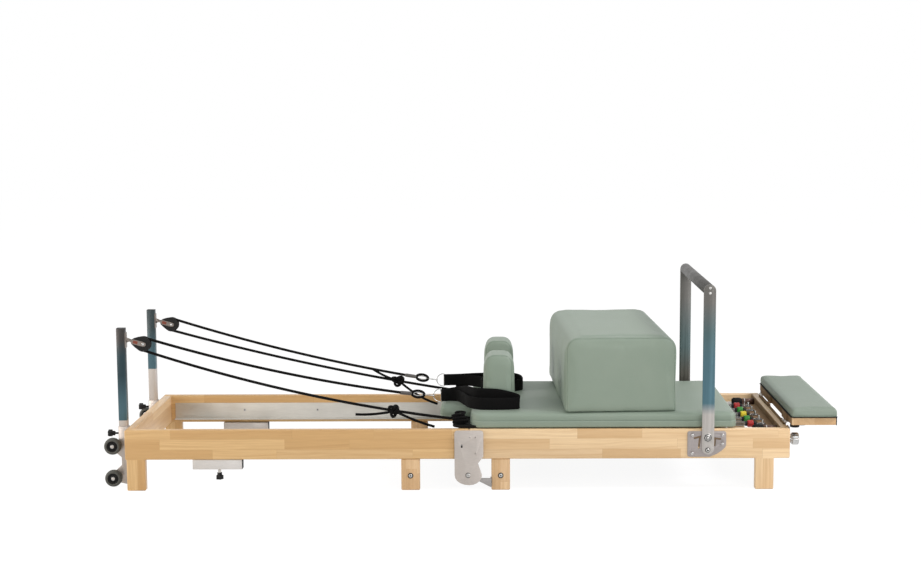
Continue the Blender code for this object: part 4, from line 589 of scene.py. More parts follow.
def sweep(shape, line, profile, closed=False, upright=None, finish=0, widths=None):
    """Sweeps a closed profile of (side, up) pairs along a line, into a bmesh with a map."""
    uv = shape.loops.layers.uv.get("UVMap") or shape.loops.layers.uv.new("UVMap")
    count = len(line)
    tangents = []
    for i in range(count):
        before = line[i - 1] if i or closed else line[i]
        after = line[(i + 1) % count] if closed or i + 1 < count else line[i]
        tangents.append((after - before).normalized())
    side = (upright or UP).cross(tangents[0])
    if side.length < 1e-6:
        side = ASIDE.cross(tangents[0])
    side.normalize()
    rings, lengths, total = [], [], 0.0
    for i, point in enumerate(line):
        if upright is not None:
            side = upright.cross(tangents[i]).normalized()
        else:
            side = (side - tangents[i] * side.dot(tangents[i])).normalized()
        up = tangents[i].cross(side)
        grow = widths[i] if widths else 1.0
        rings.append([shape.verts.new(point + side * a * grow + up * b * grow) for a, b in profile])
        if i:
            total += (point - line[i - 1]).length
        lengths.append(total)
    total += (line[0] - line[-1]).length
    turns = len(profile)
    for i in range(count if closed else count - 1):
        after = (i + 1) % count
        ends = (lengths[i], lengths[after] if after else total)
        for k in range(turns):
            nxt = (k + 1) % turns
            face = shape.faces.new((rings[i][k], rings[i][nxt], rings[after][nxt], rings[after][k]))
            face.material_index = finish
            face.smooth = True
            for loop, (u, v) in zip(face.loops, ((k, 0), (k + 1, 0), (k + 1, 1), (k, 1))):
                loop[uv].uv = (u / turns, ends[v])
    if not closed:
        for ring in (rings[0], rings[-1]):
            shape.faces.new(ring).material_index = finish


def steps_round(count):
    """Angles at even steps of a full turn."""
    return [math.tau * i / count for i in range(count)]


def round_profile(radius, sides=10):
    """The outline of a round section."""
    return [(radius * math.cos(a), radius * math.sin(a)) for a in steps_round(sides)]


def swept(name, line, profile, body, finish, stands_for=(), **how):
    """A piece that is one line swept with one profile."""
    shape = bmesh.new()
    sweep(shape, line, profile, **how)
    return add_shape(name, shape, body, (finish,), stands_for)


def band_profile(thickness, width):
    """A flat band's outline, its corners eased, with points across its faces."""
    t, w = thickness / 2, width / 2
    edge = 0.0006
    rise = [-w + edge, -w * 0.6, -w * 0.3, 0, w * 0.3, w * 0.6, w - edge]
    front = [(t, b) for b in rise] + [(t * 0.4, w), (-t * 0.4, w)]
    back = [(-t, b) for b in rise[::-1]] + [(-t * 0.4, -w), (t * 0.4, -w)]
    return front + back


def lathe(shape, profile, centre, axis, steps, finishes=None):
    """Turns a closed profile of (radius, along) pairs round an axis through a centre."""
    turn = {"X": Vector((1, 0, 0)), "Y": ASIDE, "Z": UP}[axis]
    first = UP if axis != "Z" else Vector((1, 0, 0))
    second = turn.cross(first)
    rings = []
    for radius, along in profile:
        middle = centre + turn * along
        if radius == 0:
            rings.append([shape.verts.new(middle)] * steps)
        else:
            rings.append([
                shape.verts.new(middle + (first * math.cos(a) + second * math.sin(a)) * radius)
                for a in steps_round(steps)
            ])
    for i, ring in enumerate(rings[:-1]):
        after = rings[i + 1]
        for k in range(steps):
            nxt = (k + 1) % steps
            corners = []
            for vert in (ring[k], ring[nxt], after[nxt], after[k]):
                if vert not in corners:
                    corners.append(vert)
            if len(corners) > 2:
                face = shape.faces.new(corners)
                face.smooth = True
                face.material_index = finishes[i] if finishes else 0


def in_box(low, high):
    """A test of whether a face's middle lies in a box of the drawing."""
    low, high = at(*low), at(*high)
    return lambda p: all(low[i] - 1e-4 <= p[i] <= high[i] + 1e-4 for i in range(3))


def mirrored(index, low, high):
    """Two rules that give a finish to a box of the drawing and to its mirror image."""
    other = in_box((low[0], -high[1], low[2]), (high[0], -low[1], high[2]))
    return (index, in_box(low, high)), (index, other)


def eased_copy(node, body, finishes, width, rules=(), segments=2):
    """A copy of a CAD node with eased edges; rules say which faces take a finish after the first."""
    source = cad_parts[node]
    shape = bmesh.new()
    shape.from_mesh(source.data)
    shape.transform(source.matrix_world)
    bmesh.ops.remove_doubles(shape, verts=shape.verts, dist=0.00002)
    bmesh.ops.dissolve_limit(shape, angle_limit=0.01, verts=shape.verts, edges=shape.edges)
    for face in shape.faces:
        face.smooth = True
        face.material_index = 0
        middle = face.calc_center_median()
        for index, test in rules:
            if test(middle):
                face.material_index = index
    mesh = bpy.data.meshes.new(node + "_dressed")
    shape.to_mesh(mesh)
    shape.free()
    made = add_piece(node + "_dressed", mesh, body, finishes, (node,))
    set_all(made.modifiers.new("eased_edges", "BEVEL"), width=width, segments=segments,
            limit_method="ANGLE", angle_limit=math.radians(38), use_clamp_overlap=True,
            harden_normals=True)
    settle(made)


print("tools ready")


# %% [markdown]
# ## Wooden frame
# Rails, end boards and middle legs are the CAD pieces with their corners sanded. The boards'
# small metal fittings are part of the same solids, so their faces are told apart by place.

# %% Wooden frame
LEG_FACE = 0.3493
for half in ("head", "foot"):
    for side in ("near", "far"):
        eased_copy(f"{half}_rail_{side}", f"{half}_frame", (RAIL_WOOD[half],), 0.0012)
        eased_copy(f"{half}_track_{side}", f"{half}_frame", (TRACK_METAL,), 0.0003, segments=1)
    eased_copy(
        f"{half}_mid_leg_frame", f"{half}_frame", (MID_LEG_WOOD, BOARD_WOOD, BOLT_STEEL), 0.0010,
        (
            (1, in_box((0, -0.3185, 0.0), (2.4, 0.3185, 0.112))),
            *mirrored(2, (0, LEG_FACE, 0.03), (2.4, 0.40, 0.08)),
        )
    )
eased_copy("head_end_board", "head_frame", (BOARD_WOOD,), 0.0012)
eased_copy(
    "foot_end_board", "foot_frame", (BOARD_WOOD, BOLT_STEEL, RUBBER, PLATE_STEEL, PAINTED_SHADE_WOOD), 0.0006,
    (
        # the foot end board's wood below its top edge is dark brown as painted shade
        (4, in_box((2.2, -0.32, 0.10), (2.3300, 0.32, 0.2185))),
        (1, in_box((2.2, -0.20, 0.1978), (2.3179, 0.20, 0.24))),
        *mirrored(2, (2.2, 0.235, 0.180), (2.3179, 0.30, 0.22)),
        (3, in_box((2.33, -0.30, 0.2181), (2.36, 0.30, 0.24))),
    )
)
print("wood done")


# %% [markdown]
# ## Steel work
# Plates, brackets, risers and the foot bar keep their CAD shapes with cut edges eased. The
# risers and uprights are two-toned: coated above, and another tone where they slide into a
# sleeve or pass a plate. Higher up their tones fade as painted reflection and shade, and the
# far upright's darker tones are painted shade. The carriage's board and the platform's have
# metal in their solids, so they are dressed here too.

# %% Steel work
UPRIGHT_FACE = 0.3615
for side in ("near", "far"):
    # the hinge plate's arm towards the leg takes the darker steel as painted shade
    eased_copy(f"hinge_plate_outer_{side}", "foot_frame", (PLATE_STEEL, SHADED_ARM_STEEL), 0.0005,
               ((1, in_box((1.2445, -0.36, 0.0), (1.30, 0.36, 0.0445))),))
    eased_copy(f"hinge_plate_inner_{side}", "head_frame", (SHADED_ARM_STEEL,), 0.0004, segments=1)
    eased_copy(f"gate_plate_{side}", "foot_frame", (GATE_STEEL,), 0.0005)
    eased_copy(f"wheel_bracket_{side}", "head_frame", (PLATE_STEEL,), 0.0004, segments=1)
    eased_copy(f"platform_bracket_{side}", "foot_frame", (PLATE_STEEL, CHROME), 0.0005,
               ((1, in_box((2.3546, -0.34, 0.14), (2.40, 0.34, 0.20))),))
    # the near socket's brighter steel is painted light
    eased_copy(f"storage_socket_{side}", "head_frame",
               (LIT_SOCKET_STEEL if side == "near" else PLATE_STEEL, BLACK_PLASTIC), 0.0004,
               ((1, in_box((0.2, -0.36, 0.0), (0.42, 0.36, 0.0618))),
                (1, in_box((0.4072, -0.36, 0.0), (0.42, 0.36, 0.12)))), 1)
    eased_copy(f"riser_{side}", f"riser_{side}", (RISER_PAINT[side], BLACK_PLASTIC, LINK_STEEL), 0.0004,
               ((1, in_box((-0.1, -0.3, 0.5629), (0.1, 0.3, 0.58))),
                (2, in_box((-0.0079, -0.3, 0.45), (0.1, 0.3, 0.5629)))), 1)
    eased_copy(f"riser_knob_{side}", f"riser_knob_{side}", (BLACK_PLASTIC,), 0.0010)
    eased_copy(f"sheave_{side}", f"sheave_{side}", (BLACK_PLASTIC,), 0.0003, segments=1)
    eased_copy(f"foot_bar_upright_{side}", "foot_bar", (BAR_PAINT[side], BOLT_STEEL), 0.0008,
               mirrored(1, (2.0, UPRIGHT_FACE, 0.1), (2.1, 0.40, 0.75)))
eased_copy("foot_bar_cross_tube", "foot_bar", (TUBE_PAINT,), 0.0004)
eased_copy(
    "carriage_board", "carriage", (BLACK_BOARD, PLATE_STEEL, BLACK_PLASTIC, BOLT_STEEL), 0.0006,
    (
        (1, in_box((1.1, -0.30, 0.10), (2.2, 0.30, 0.2204))),
        *mirrored(2, (1.15, 0.26, 0.2286), (1.21, 0.29, 0.26)),
    )
)
eased_copy(
    "platform_board", "platform", (PLATFORM_WOOD, PLATE_STEEL, RUBBER, PAINTED_SHADE_WOOD), 0.0008,
    (
        # the platform board's face towards the head is dark brown as painted shade
        (3, in_box((2.33, -0.34, 0.2285), (2.356, 0.34, 0.26))),
        (1, in_box((2.33, -0.30, 0.215), (2.354, 0.30, 0.24))),
        (1, in_box((2.33, -0.30, 0.22), (2.386, 0.30, 0.2285))),
        *mirrored(2, (2.36, 0.26, 0.20), (2.5, 0.34, 0.2284)),
    )
)
print("steel done")


# %% [markdown]
# ## Cushions
# Upholstery is foam under stretched vinyl: full in the middle of each face, pulled in along
# the seams, and flat only where it lies on its board. Each cushion starts as a closed form
# a little under its height, is remeshed to even squares and blown up as cloth with its
# underside held. A cap keeps every point near its start, so a pad never leaves its place. The
# seams are pressed in afterwards as grooves, each with a thin welt lying in it.

# %% Cushions
CLOTH_FRAMES = 20


def numbers_of(items, what):
    """Points or normals of a mesh as an array."""
    values = np.empty(len(items) * 3)
    items.foreach_get(what, values)
    return values.reshape(-1, 3)


def raised(outline, place, height, edges):
    """A closed solid raised from a flat outline, with its lower and upper rims rounded."""
    shape = bmesh.new()
    first = [shape.verts.new(place(a, b, 0.0)) for a, b in outline]
    base = shape.faces.new(first)
    made = bmesh.ops.extrude_face_region(shape, geom=[base])["geom"]
    second = [item for item in made if isinstance(item, bmesh.types.BMVert)]
    shift = place(0, 0, height) - place(0, 0, 0)
    bmesh.ops.translate(shape, vec=shift, verts=second)
    bmesh.ops.recalc_face_normals(shape, faces=shape.faces)
    for verts, edge in ((set(first), edges[0]), (set(second), edges[1])):
        if edge:
            rim = [e for e in shape.edges if e.is_valid and set(e.verts) <= verts]
            bmesh.ops.bevel(shape, geom=rim, offset=edge, segments=4, profile=0.5, affect="EDGES",
                            clamp_overlap=True)
    bmesh.ops.triangulate(shape, faces=[f for f in shape.faces if len(f.verts) > 4])
    return shape


def blow_up(obj, voxel, pressure, cap, floor_z, stiffness):
    """Remeshes a closed form and swells it as cloth, with its underside held still."""
    set_all(obj.modifiers.new("even_squares", "REMESH"), mode="VOXEL", voxel_size=voxel)
    settle(obj)
    start = numbers_of(obj.data.vertices, "co")
    held = obj.vertex_groups.new(name="underside")
    held.add([int(i) for i in np.nonzero(start[:, 2] < floor_z + voxel * 0.7)[0]], 1.0, "REPLACE")
    cloth = obj.modifiers.new("blown_up", "CLOTH")
    set_all(cloth.settings, use_pressure=True, uniform_pressure_force=pressure, quality=4, mass=0.3,
            tension_stiffness=stiffness, compression_stiffness=stiffness,
            shear_stiffness=stiffness / 2, bending_stiffness=1.0, vertex_group_mass="underside")
    cloth.settings.effector_weights.gravity = 0
    cloth.collision_settings.use_collision = False
    set_all(cloth.point_cache, frame_start=1, frame_end=CLOTH_FRAMES)
    for number in range(1, CLOTH_FRAMES + 1):
        scene.frame_set(number)
    settle(obj)
    scene.frame_set(1)
    shift = numbers_of(obj.data.vertices, "co") - start
    far = np.linalg.norm(shift, axis=1)
    shift *= np.minimum(1, cap / np.maximum(far, 1e-9))[:, None]
    moved = start + shift
    moved[:, 2] = np.maximum(moved[:, 2], floor_z)
    obj.data.vertices.foreach_set("co", moved.ravel())
    print(obj.name, "swelled", round(float(np.minimum(far, cap).max()) * 1000, 1), "mm")
    set_all(obj.modifiers.new("relaxed", "SMOOTH"), factor=0.5, iterations=6)
    set_all(obj.modifiers.new("finer", "SUBSURF"), levels=1, render_levels=1)
    settle(obj)
    obj.data.shade_smooth()


def press_seams(obj, lines, width, depth):
    """Presses a groove into a cushion along each line of points."""
    tree = KDTree(sum(len(line) for line in lines))
    for number, point in enumerate(point for line in lines for point in line):
        tree.insert(point, number)
    tree.balance()
    places = numbers_of(obj.data.vertices, "co")
    normals = numbers_of(obj.data.vertex_normals, "vector")
    gaps = np.array([tree.find(place)[2] for place in places])
    places -= normals * (depth * np.exp(-(gaps / width) ** 2))[:, None]
    obj.data.vertices.foreach_set("co", places.ravel())
    obj.data.update()


def lay_on(obj, points, step, lift=0.0):
    """Points of a closed line drawn near a cushion, laid on its surface about a step apart."""
    surface = BVHTree.FromPolygons(
        [v.co for v in obj.data.vertices], [tuple(p.vertices) for p in obj.data.polygons]
    )
    line = []
    for point in smooth_line(points, step, True):
        place, normal, _, _ = surface.find_nearest(point)
        line.append(place + normal * lift)
    return line


def straight(points, step):
    """A closed run of corners with points put in between, so that its sides stay straight."""
    line = []
    for i, point in enumerate(points):
        after = points[(i + 1) % len(points)]
        pieces = max(1, round((after - point).length / step))
        line += [point.lerp(after, k / pieces) for k in range(pieces)]
    return line


def cushion(node, body, shape, voxel, pressure, cap, stiffness, seams):
    """A finished cushion: blown up, grooved along its seams and given its welts."""
    name = node + "_cushion"
    floor_z = min(v.co.z for v in shape.verts)
    made = add_shape(name, shape, body, (), (node,))
    blow_up(made, voxel, pressure, cap, floor_z, stiffness)
    made.data.materials.clear()
    made.data.materials.append(PLATFORM_VINYL_SHADED if body == "platform" else VINYL)
    press_seams(made, [lay_on(made, seam, 0.003) for seam in seams], width=0.0030, depth=0.0013)
    welts = bmesh.new()
    for seam in seams:
        sweep(welts, lay_on(made, seam, 0.004, 0.0001), round_profile(0.0009, 6), True)
    add_shape(name + "_welts", welts, body, (THREAD,)).data.shade_smooth()


def rounded_outline(low, high, radii):
    """A rectangle's outline with its own radius at each corner, from the far right one on."""
    points = []
    turns = 6
    corners = ((high[0], high[1], -1, -1, 0), (low[0], high[1], 1, -1, 90),
               (low[0], low[1], 1, 1, 180), (high[0], low[1], -1, 1, 270))
    for (x, y, to_x, to_y, start), radius in zip(corners, radii):
        for i in range(turns + 1):
            angle = math.radians(start + 90 * i / turns)
            points.append((x + to_x * radius + radius * math.cos(angle),
                           y + to_y * radius + radius * math.sin(angle)))
    return points


def extent(node):
    """A node's box in the drawing: lowest and highest corner."""
    low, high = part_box(node)
    return Vector(low) - ORIGIN, Vector(high) - ORIGIN


def flat_pad(node, body, outline, top_edge, voxel, seam_drop):
    """A low pad lying on its board, blown up from an outline in the drawing."""
    low, high = extent(node)
    shape = raised(outline, lambda a, b, c: at(a, b, low.z + c), high.z - low.z - 0.0015, (0, top_edge))
    seam = straight([at(x, y, high.z - seam_drop) for x, y in outline], 0.02)
    cushion(node, body, shape, voxel, pressure=3.0, cap=0.003, stiffness=16.0, seams=(seam,))


def stood_block(node, body, place, outline, width, edge, voxel, cap, seam_in):
    """An upright block of foam: a side view's outline, its width, and a seam round each end."""
    shape = raised(outline, lambda a, b, c: place @ Vector((a, c - width / 2, b)), width, (edge, edge))
    tall = max(b for _, b in outline)
    wide = max(a for a, _ in outline)
    seam = [(a * (1 - seam_in / wide), b * (1 - seam_in / tall)) for a, b in outline]
    seams = [
        straight([place @ Vector((a, sign * (width / 2 - edge * 0.25), b)) for a, b in seam], 0.015)
        for sign in (-1, 1)
    ]
    cushion(node, body, shape, voxel, pressure=2.0, cap=cap, stiffness=26.0, seams=seams)


PAD_EDGE = 0.0015
PAD_CORNERS = (0.024, 0.042, 0.042, 0.024)
SKIRT_LOW = (1.2215, -0.3333)
SKIRT_HIGH = (2.1615, 0.3333)
SKIRT_LAP = 0.006
pad_low, pad_high = extent("main_pad")
rest_low, rest_high = extent("headrest")
notch_y = rest_high.y + PAD_EDGE
notch_x = rest_high.x + PAD_EDGE
head_end = pad_low.x + PAD_EDGE
pad_outline = rounded_outline(
    (head_end, pad_low.y + PAD_EDGE), (pad_high.x + 0.005, pad_high.y - PAD_EDGE), PAD_CORNERS
)
half_way = len(pad_outline) // 2
pad_outline[half_way:half_way] = [
    (head_end, notch_y), (notch_x, notch_y), (notch_x, -notch_y), (head_end, -notch_y)
]
flat_pad("main_pad", "carriage", pad_outline, top_edge=0.010, voxel=0.006, seam_drop=0.040)
rest_outline = rounded_outline(
    (rest_low.x + 0.001, rest_low.y), (rest_high.x, rest_high.y), (0.012,) * 4
)
flat_pad("headrest", "headrest", rest_outline, top_edge=0.012, voxel=0.005, seam_drop=0.034)

# the skirt runs round the pad's side from one edge of the headrest's notch to the other
skirt_outline = rounded_outline(SKIRT_LOW, SKIRT_HIGH, PAD_CORNERS)
skirt_run = [
    (SKIRT_LOW[0], -notch_y - SKIRT_LAP),
    *skirt_outline[half_way:],
    *skirt_outline[:half_way],
    (SKIRT_LOW[0], notch_y + SKIRT_LAP),
]
skirt_line = [at(x, y, pad_low.z + 0.0045) for x, y in skirt_run]
swept("main_pad_skirt", skirt_line, band_profile(0.0032, 0.0225), "carriage", VINYL, upright=UP)

for side in ("near", "far"):
    low, high = extent(f"shoulder_rest_{side}")
    half, tall = (high.x - low.x) / 2, high.z - low.z
    place = Matrix.Translation(at((low.x + high.x) / 2, (low.y + high.y) / 2, low.z))
    outline = rounded_outline((-half, 0.0), (half, tall - 0.0080), (0.034, 0.034, 0.006, 0.006))
    outline = [(a * (1 - 0.09 * max(0, b / tall) ** 2), b) for a, b in outline]
    stood_block(f"shoulder_rest_{side}", "carriage", place, outline, width=high.y - low.y - 0.002,
                edge=0.014, voxel=0.005, cap=0.004, seam_in=0.004)

BOX_SIZE = (0.390, 0.760, 0.270)
BOX_TURN = 2.4
box_low, box_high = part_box("sitting_box")
box_foot = ((box_low[0] + box_high[0]) / 2, (box_low[1] + box_high[1]) / 2, box_low[2])
box_place = Matrix.Translation(box_foot) @ Matrix.Rotation(math.radians(BOX_TURN), 4, "Z")
box_outline = rounded_outline(
    (-BOX_SIZE[0] / 2 - 0.002, 0.0), (BOX_SIZE[0] / 2 + 0.002, BOX_SIZE[2] - 0.0015),
    (0.042, 0.044, 0.006, 0.006)
)
stood_block("sitting_box", "sitting_box", box_place, box_outline, width=BOX_SIZE[1] - 0.002,
            edge=0.018, voxel=0.006, cap=0.003, seam_in=0.006)

top_low, top_high = extent("platform_pad")
top_outline = rounded_outline(
    (top_low.x - 0.004, top_low.y - 0.010), (top_high.x + 0.008, top_high.y + 0.010), (0.010,) * 4
)
flat_pad("platform_pad", "platform", top_outline, top_edge=0.009, voxel=0.005, seam_drop=0.028)

# a black strip between the pad and its board, and one on the board's outer edge
trim = bmesh.new()
trim_outline = rounded_outline(
    (top_low.x - 0.003, top_low.y - 0.007), (top_high.x + 0.005, top_high.y + 0.007), (0.009,) * 4
)
trim_line = [at(x, y, top_low.z + 0.0012) for x, y in trim_outline]
sweep(trim, trim_line, band_profile(0.0060, 0.0024), closed=True, upright=UP)
board_low, board_high = extent("platform_board")
strip_z = (top_low.z + board_low.z) / 2 + 0.0025
strip_line = [
    at(board_high.x + 0.0016, y, strip_z) for y in (board_low.y + 0.001, 0, board_high.y - 0.001)
]
sweep(trim, strip_line, band_profile(0.0028, 0.0285), upright=UP)
add_shape("platform_trim", trim, "platform", (RUBBER,))
print("cushions done")


# %% [markdown]
# ## Straps and ropes
# Each strap is one band of webbing sewn into a loop, standing on edge round its shoulder
# rest, with a ring in its end. Each rope runs from a cleat up to its pulley, round it and
# back down to a snap hook on the ring. The rope hangs a little, as a rope with no load does,
# and has a knot with loose ends on the way.

# %% Straps and ropes
REST_X = extent("shoulder_rest_near")[0].x
REST_Y = 0.169
PAD_Z = extent("main_pad")[1].z
LOOPS = {
    "near": ((-0.158, 0.059, 0), (-0.100, 0.057, 0), (-0.073, -0.008, 0), (-0.052, -0.070, 0),
             (-0.008, -0.108, 0), (0.064, -0.112, 0), (0.108, -0.104, 0), (0.126, -0.092, 0.001),
             (0.124, -0.079, 0.006), (0.100, -0.0735, 0.015), (0.050, -0.0730, 0.026),
             (0.000, -0.0730, 0.029), (-0.032, -0.058, 0.029), (-0.064, 0.000, 0.025),
             (-0.098, 0.064, 0.010), (-0.158, 0.066, 0)),
    "far": ((-0.158, 0.046, 0), (-0.100, 0.050, 0), (-0.050, 0.030, 0), (-0.010, -0.010, 0),
            (-0.012, -0.062, 0), (0.022, -0.086, 0), (0.070, -0.090, 0), (0.118, -0.080, 0),
            (0.142, -0.052, 0), (0.144, -0.008, 0), (0.134, 0.046, 0), (0.106, 0.080, 0),
            (0.040, 0.088, 0), (-0.040, 0.080, 0), (-0.100, 0.062, 0), (-0.158, 0.054, 0)),
}
STRAP_WIDTH = 0.043
STRAP_MIDDLE = PAD_Z + 0.0003 + 0.022
SHEAVE = (0.0561, 0.5118)
SHEAVE_Y = 0.2504
ROPE_BEND = 0.0224
ROPE_RADIUS = 0.0050
DECK_Z = 0.2285
CLEAT = (1.152, 0.279)
RING_DEPTH = 0.028
EYE_MIDDLE = 0.0565
SLEEVE_START = 0.080
SLEEVE_WIDTHS = (0.75, 0.95, 1, 1, 1, 1, 1, 1, 0.95, 0.75)
WINDING_POINTS = 150
TAILS = {"near": ((-0.135, -0.012), (0.146, -0.060)), "far": ((-0.100, 0.050), (0.155, -0.093))}
KNOT_X = {"near": 0.948, "far": 0.931}
KNOT_SIZE = {"near": (0.0056, 0.0074), "far": (0.0080, 0.0066)}
SAGS = {"near": (0.020, 0.029), "far": (0.016, 0.017)}
TILT = {"near": 5, "far": 9}


def hanging(start, end, sag, pieces=26):
    """A rope's line between two points with some sag."""
    shares = [i / pieces for i in range(pieces + 1)]
    return [start.lerp(end, t) - Vector((0, 0, 4 * sag * t * (1 - t))) for t in shares]


def slanted(start, tilt, up):
    """A way of turning (along, aside, up) into a point, on a line that rises by an angle."""
    along = Vector((-math.cos(tilt), 0, math.sin(tilt)))
    return lambda a, b, c: start + along * a + ASIDE * b + up * c


def oval(place, middle, length, height, flat=False):
    """A closed oval link; place turns (along, aside, up) into a point."""
    line = []
    for angle in steps_round(30):
        a, b = middle + length / 2 * math.cos(angle), height / 2 * math.sin(angle)
        line.append(place(a, b, 0) if flat else place(a, 0, b))
    return line


def rope_piece(name, line, radius, body, reach=None, stands_for=()):
    """A length of rope; with a reach, it gets a mesh of its own."""
    made = swept(name, line, round_profile(radius), body, ROPE, stands_for)
    if reach:
        draw_in(made)
    return made


def draw_in(obj):
    """Gives a piece of rope a mesh of its own."""
    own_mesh(obj)


def length_of(line):
    """A line's length in metres, to a tenth of a millimetre."""
    return round(sum((b - a).length for a, b in zip(line, line[1:])), 4)


for side, sign in SIDES:
    corners = [at(REST_X + x, sign * REST_Y + y, STRAP_MIDDLE + z) for x, y, z in LOOPS[side]]
    loop = smooth_line(corners, 0.006)
    strap = swept(f"strap_{side}_webbing", loop, band_profile(0.0026, STRAP_WIDTH), "carriage", WEBBING,
                  (f"strap_{side}",), upright=UP)

    # the strap's ring, then the hook, eye and sleeve of the rope on a line rising to the pulley
    end = (loop[0] + loop[-1]) / 2
    tilt = math.radians(TILT[side])
    up = Vector((math.sin(tilt), 0, math.cos(tilt)))
    on_hook = slanted(end - Vector((RING_DEPTH, 0, 0)), tilt, up)
    metal = bmesh.new()
    bow = [math.radians(90 + 180 * i / 24) for i in range(25)]
    ring = [end + Vector((RING_DEPTH * math.cos(a), 0, 0.0245 * math.sin(a))) for a in bow]
    hook = oval(on_hook, middle=0.0155, length=0.038, height=0.0100, flat=True)
    thimble = oval(on_hook, EYE_MIDDLE, length=0.0340, height=0.0125)
    sweep(metal, straight(ring, 0.004), round_profile(0.0017, 8), True, ASIDE)
    sweep(metal, hook, round_profile(0.0014, 8), True, up)
    sweep(metal, thimble, round_profile(0.0019, 8), True, ASIDE)
    fitting = add_shape(f"strap_{side}_ring_and_hook", metal, "carriage", (CHROME,))
    eye = oval(on_hook, EYE_MIDDLE, length=0.0465, height=0.0255)
    eye_piece = swept(f"rope_{side}_eye", eye, round_profile(0.0043), "carriage", ROPE, closed=True,
                      upright=ASIDE)
    sleeve_line = [on_hook(SLEEVE_START + 0.0050 * i, 0, 0) for i in range(10)]
    sleeve_piece = swept(f"rope_{side}_sleeve", sleeve_line, round_profile(0.0070, 14), "carriage", SLEEVE,
                         upright=ASIDE, widths=SLEEVE_WIDTHS)

    # the rope: from the cleat up to the sheave and round it, then down to the hook
    cleat = Vector((CLEAT[0], sign * CLEAT[1], DECK_Z + 0.016))
    out_sag, back_sag = SAGS[side]
    wrap = [
        Vector((SHEAVE[0] + ROPE_BEND * math.cos(a), sign * SHEAVE_Y, SHEAVE[1] + ROPE_BEND * math.sin(a)))
        for a in (math.radians(255 - 180 * i / 14) for i in range(15))
    ]
    back = smooth_line([ORIGIN + p for p in hanging(cleat, wrap[0], back_sag)[:-1] + wrap], 0.006)
    hook_end = on_hook(0.112, 0, 0) - ORIGIN
    out = smooth_line([ORIGIN + p for p in hanging(wrap[-1], hook_end, out_sag)], 0.006)
    back_reach = CLEAT[0] - SHEAVE[0]
    out_reach = (out[-1] - ORIGIN).x - SHEAVE[0]
    back_rope = rope_piece(f"rope_{side}_back", back, ROPE_RADIUS, "head_frame", back_reach,
                           (f"rope_{side}",))
    out_rope = rope_piece(f"rope_{side}_out", out, ROPE_RADIUS, "head_frame", out_reach)

    # the knot, a round turn and a hitch over it, and the turns wound on the cleat
    knot_at = min(back, key=lambda p: abs((p - ORIGIN).x - KNOT_X[side]))
    wide, tall = KNOT_SIZE[side]
    tied = [
        knot_at + Vector((
            wide * (math.sin(t) + 2 * math.sin(2 * t)), -0.0078 * math.sin(3 * t),
            tall * (math.cos(t) - 2 * math.cos(2 * t))
        ))
        for t in steps_round(72)
    ]
    hitch = [
        knot_at + Vector((0.006 + 0.011 * math.cos(a), 0.004 * math.sin(2 * a), 0.011 * math.sin(a)))
        for a in steps_round(30)
    ]
    knot_shape = bmesh.new()
    sweep(knot_shape, tied, round_profile(0.0054), True)
    sweep(knot_shape, hitch, round_profile(0.0050), True)
    knot = add_shape(f"rope_{side}_knot", knot_shape, "head_frame", (ROPE,))
    draw_in(knot)
    wound = []
    for i in range(WINDING_POINTS):
        t = i / WINDING_POINTS
        turn = math.tau * 6.5 * t
        wound.append(at(1.181 + (0.027 - 0.012 * t) * math.sin(turn) + 0.005 * math.sin(turn * 0.37),
                        sign * 0.296 + (0.023 - 0.009 * t) * math.cos(turn * 0.5 + 0.6),
                        0.2355 + 0.034 * t + 0.003 * math.cos(turn)))
    winding = rope_piece(f"rope_{side}_winding", wound, 0.0044, "carriage")
    print(f"rope_{side}", "lengths", length_of(back), length_of(out), "strap", length_of(loop))
    for number, (dx, dz) in enumerate(TAILS[side], 1):
        start = knot_at + Vector((math.copysign(0.010, dx), -0.004, math.copysign(0.004, dz)))
        stop = knot_at + Vector((dx, -0.008 if dx < 0 else 0.004, dz))
        bow = 0.011 if dx > 0 and side == "far" else 0.004
        tail = smooth_line(hanging(start, stop, bow, 10), 0.005)
        loose = rope_piece(f"rope_{side}_tail_{number}", tail, 0.0046, "head_frame", back_reach)
        print(loose.name, "length", length_of(tail))
print("straps and ropes done")


# %% [markdown]
# ## Pulleys
# Each pulley is a black sheave between two drop-shaped guards. A steel link on each side,
# narrow at the swivel, carries a copper plate, and a chrome pin's end stands out of it.

# %% Pulleys
SWIVEL_X = 0.003
BLOCK_RISE = 15
GUARD_RADIUS = 0.0272
PIN_END = ((0.0, 0.0109), (0.0048, 0.0109), (0.0048, 0.0122), (0.0036, 0.0128), (0.0, 0.0128))


def plate(shape, outline, place, inner, outer, finish):
    """A flat plate between two distances aside; place turns (along, across, aside) into a point."""
    rings = [[shape.verts.new(place(a, b, d)) for a, b in outline] for d in (inner, outer)]
    made = [shape.faces.new(ring) for ring in rings]
    for k in range(len(outline)):
        nxt = (k + 1) % len(outline)
        made.append(shape.faces.new((rings[0][k], rings[0][nxt], rings[1][nxt], rings[1][k])))
    for face in made:
        face.material_index = finish


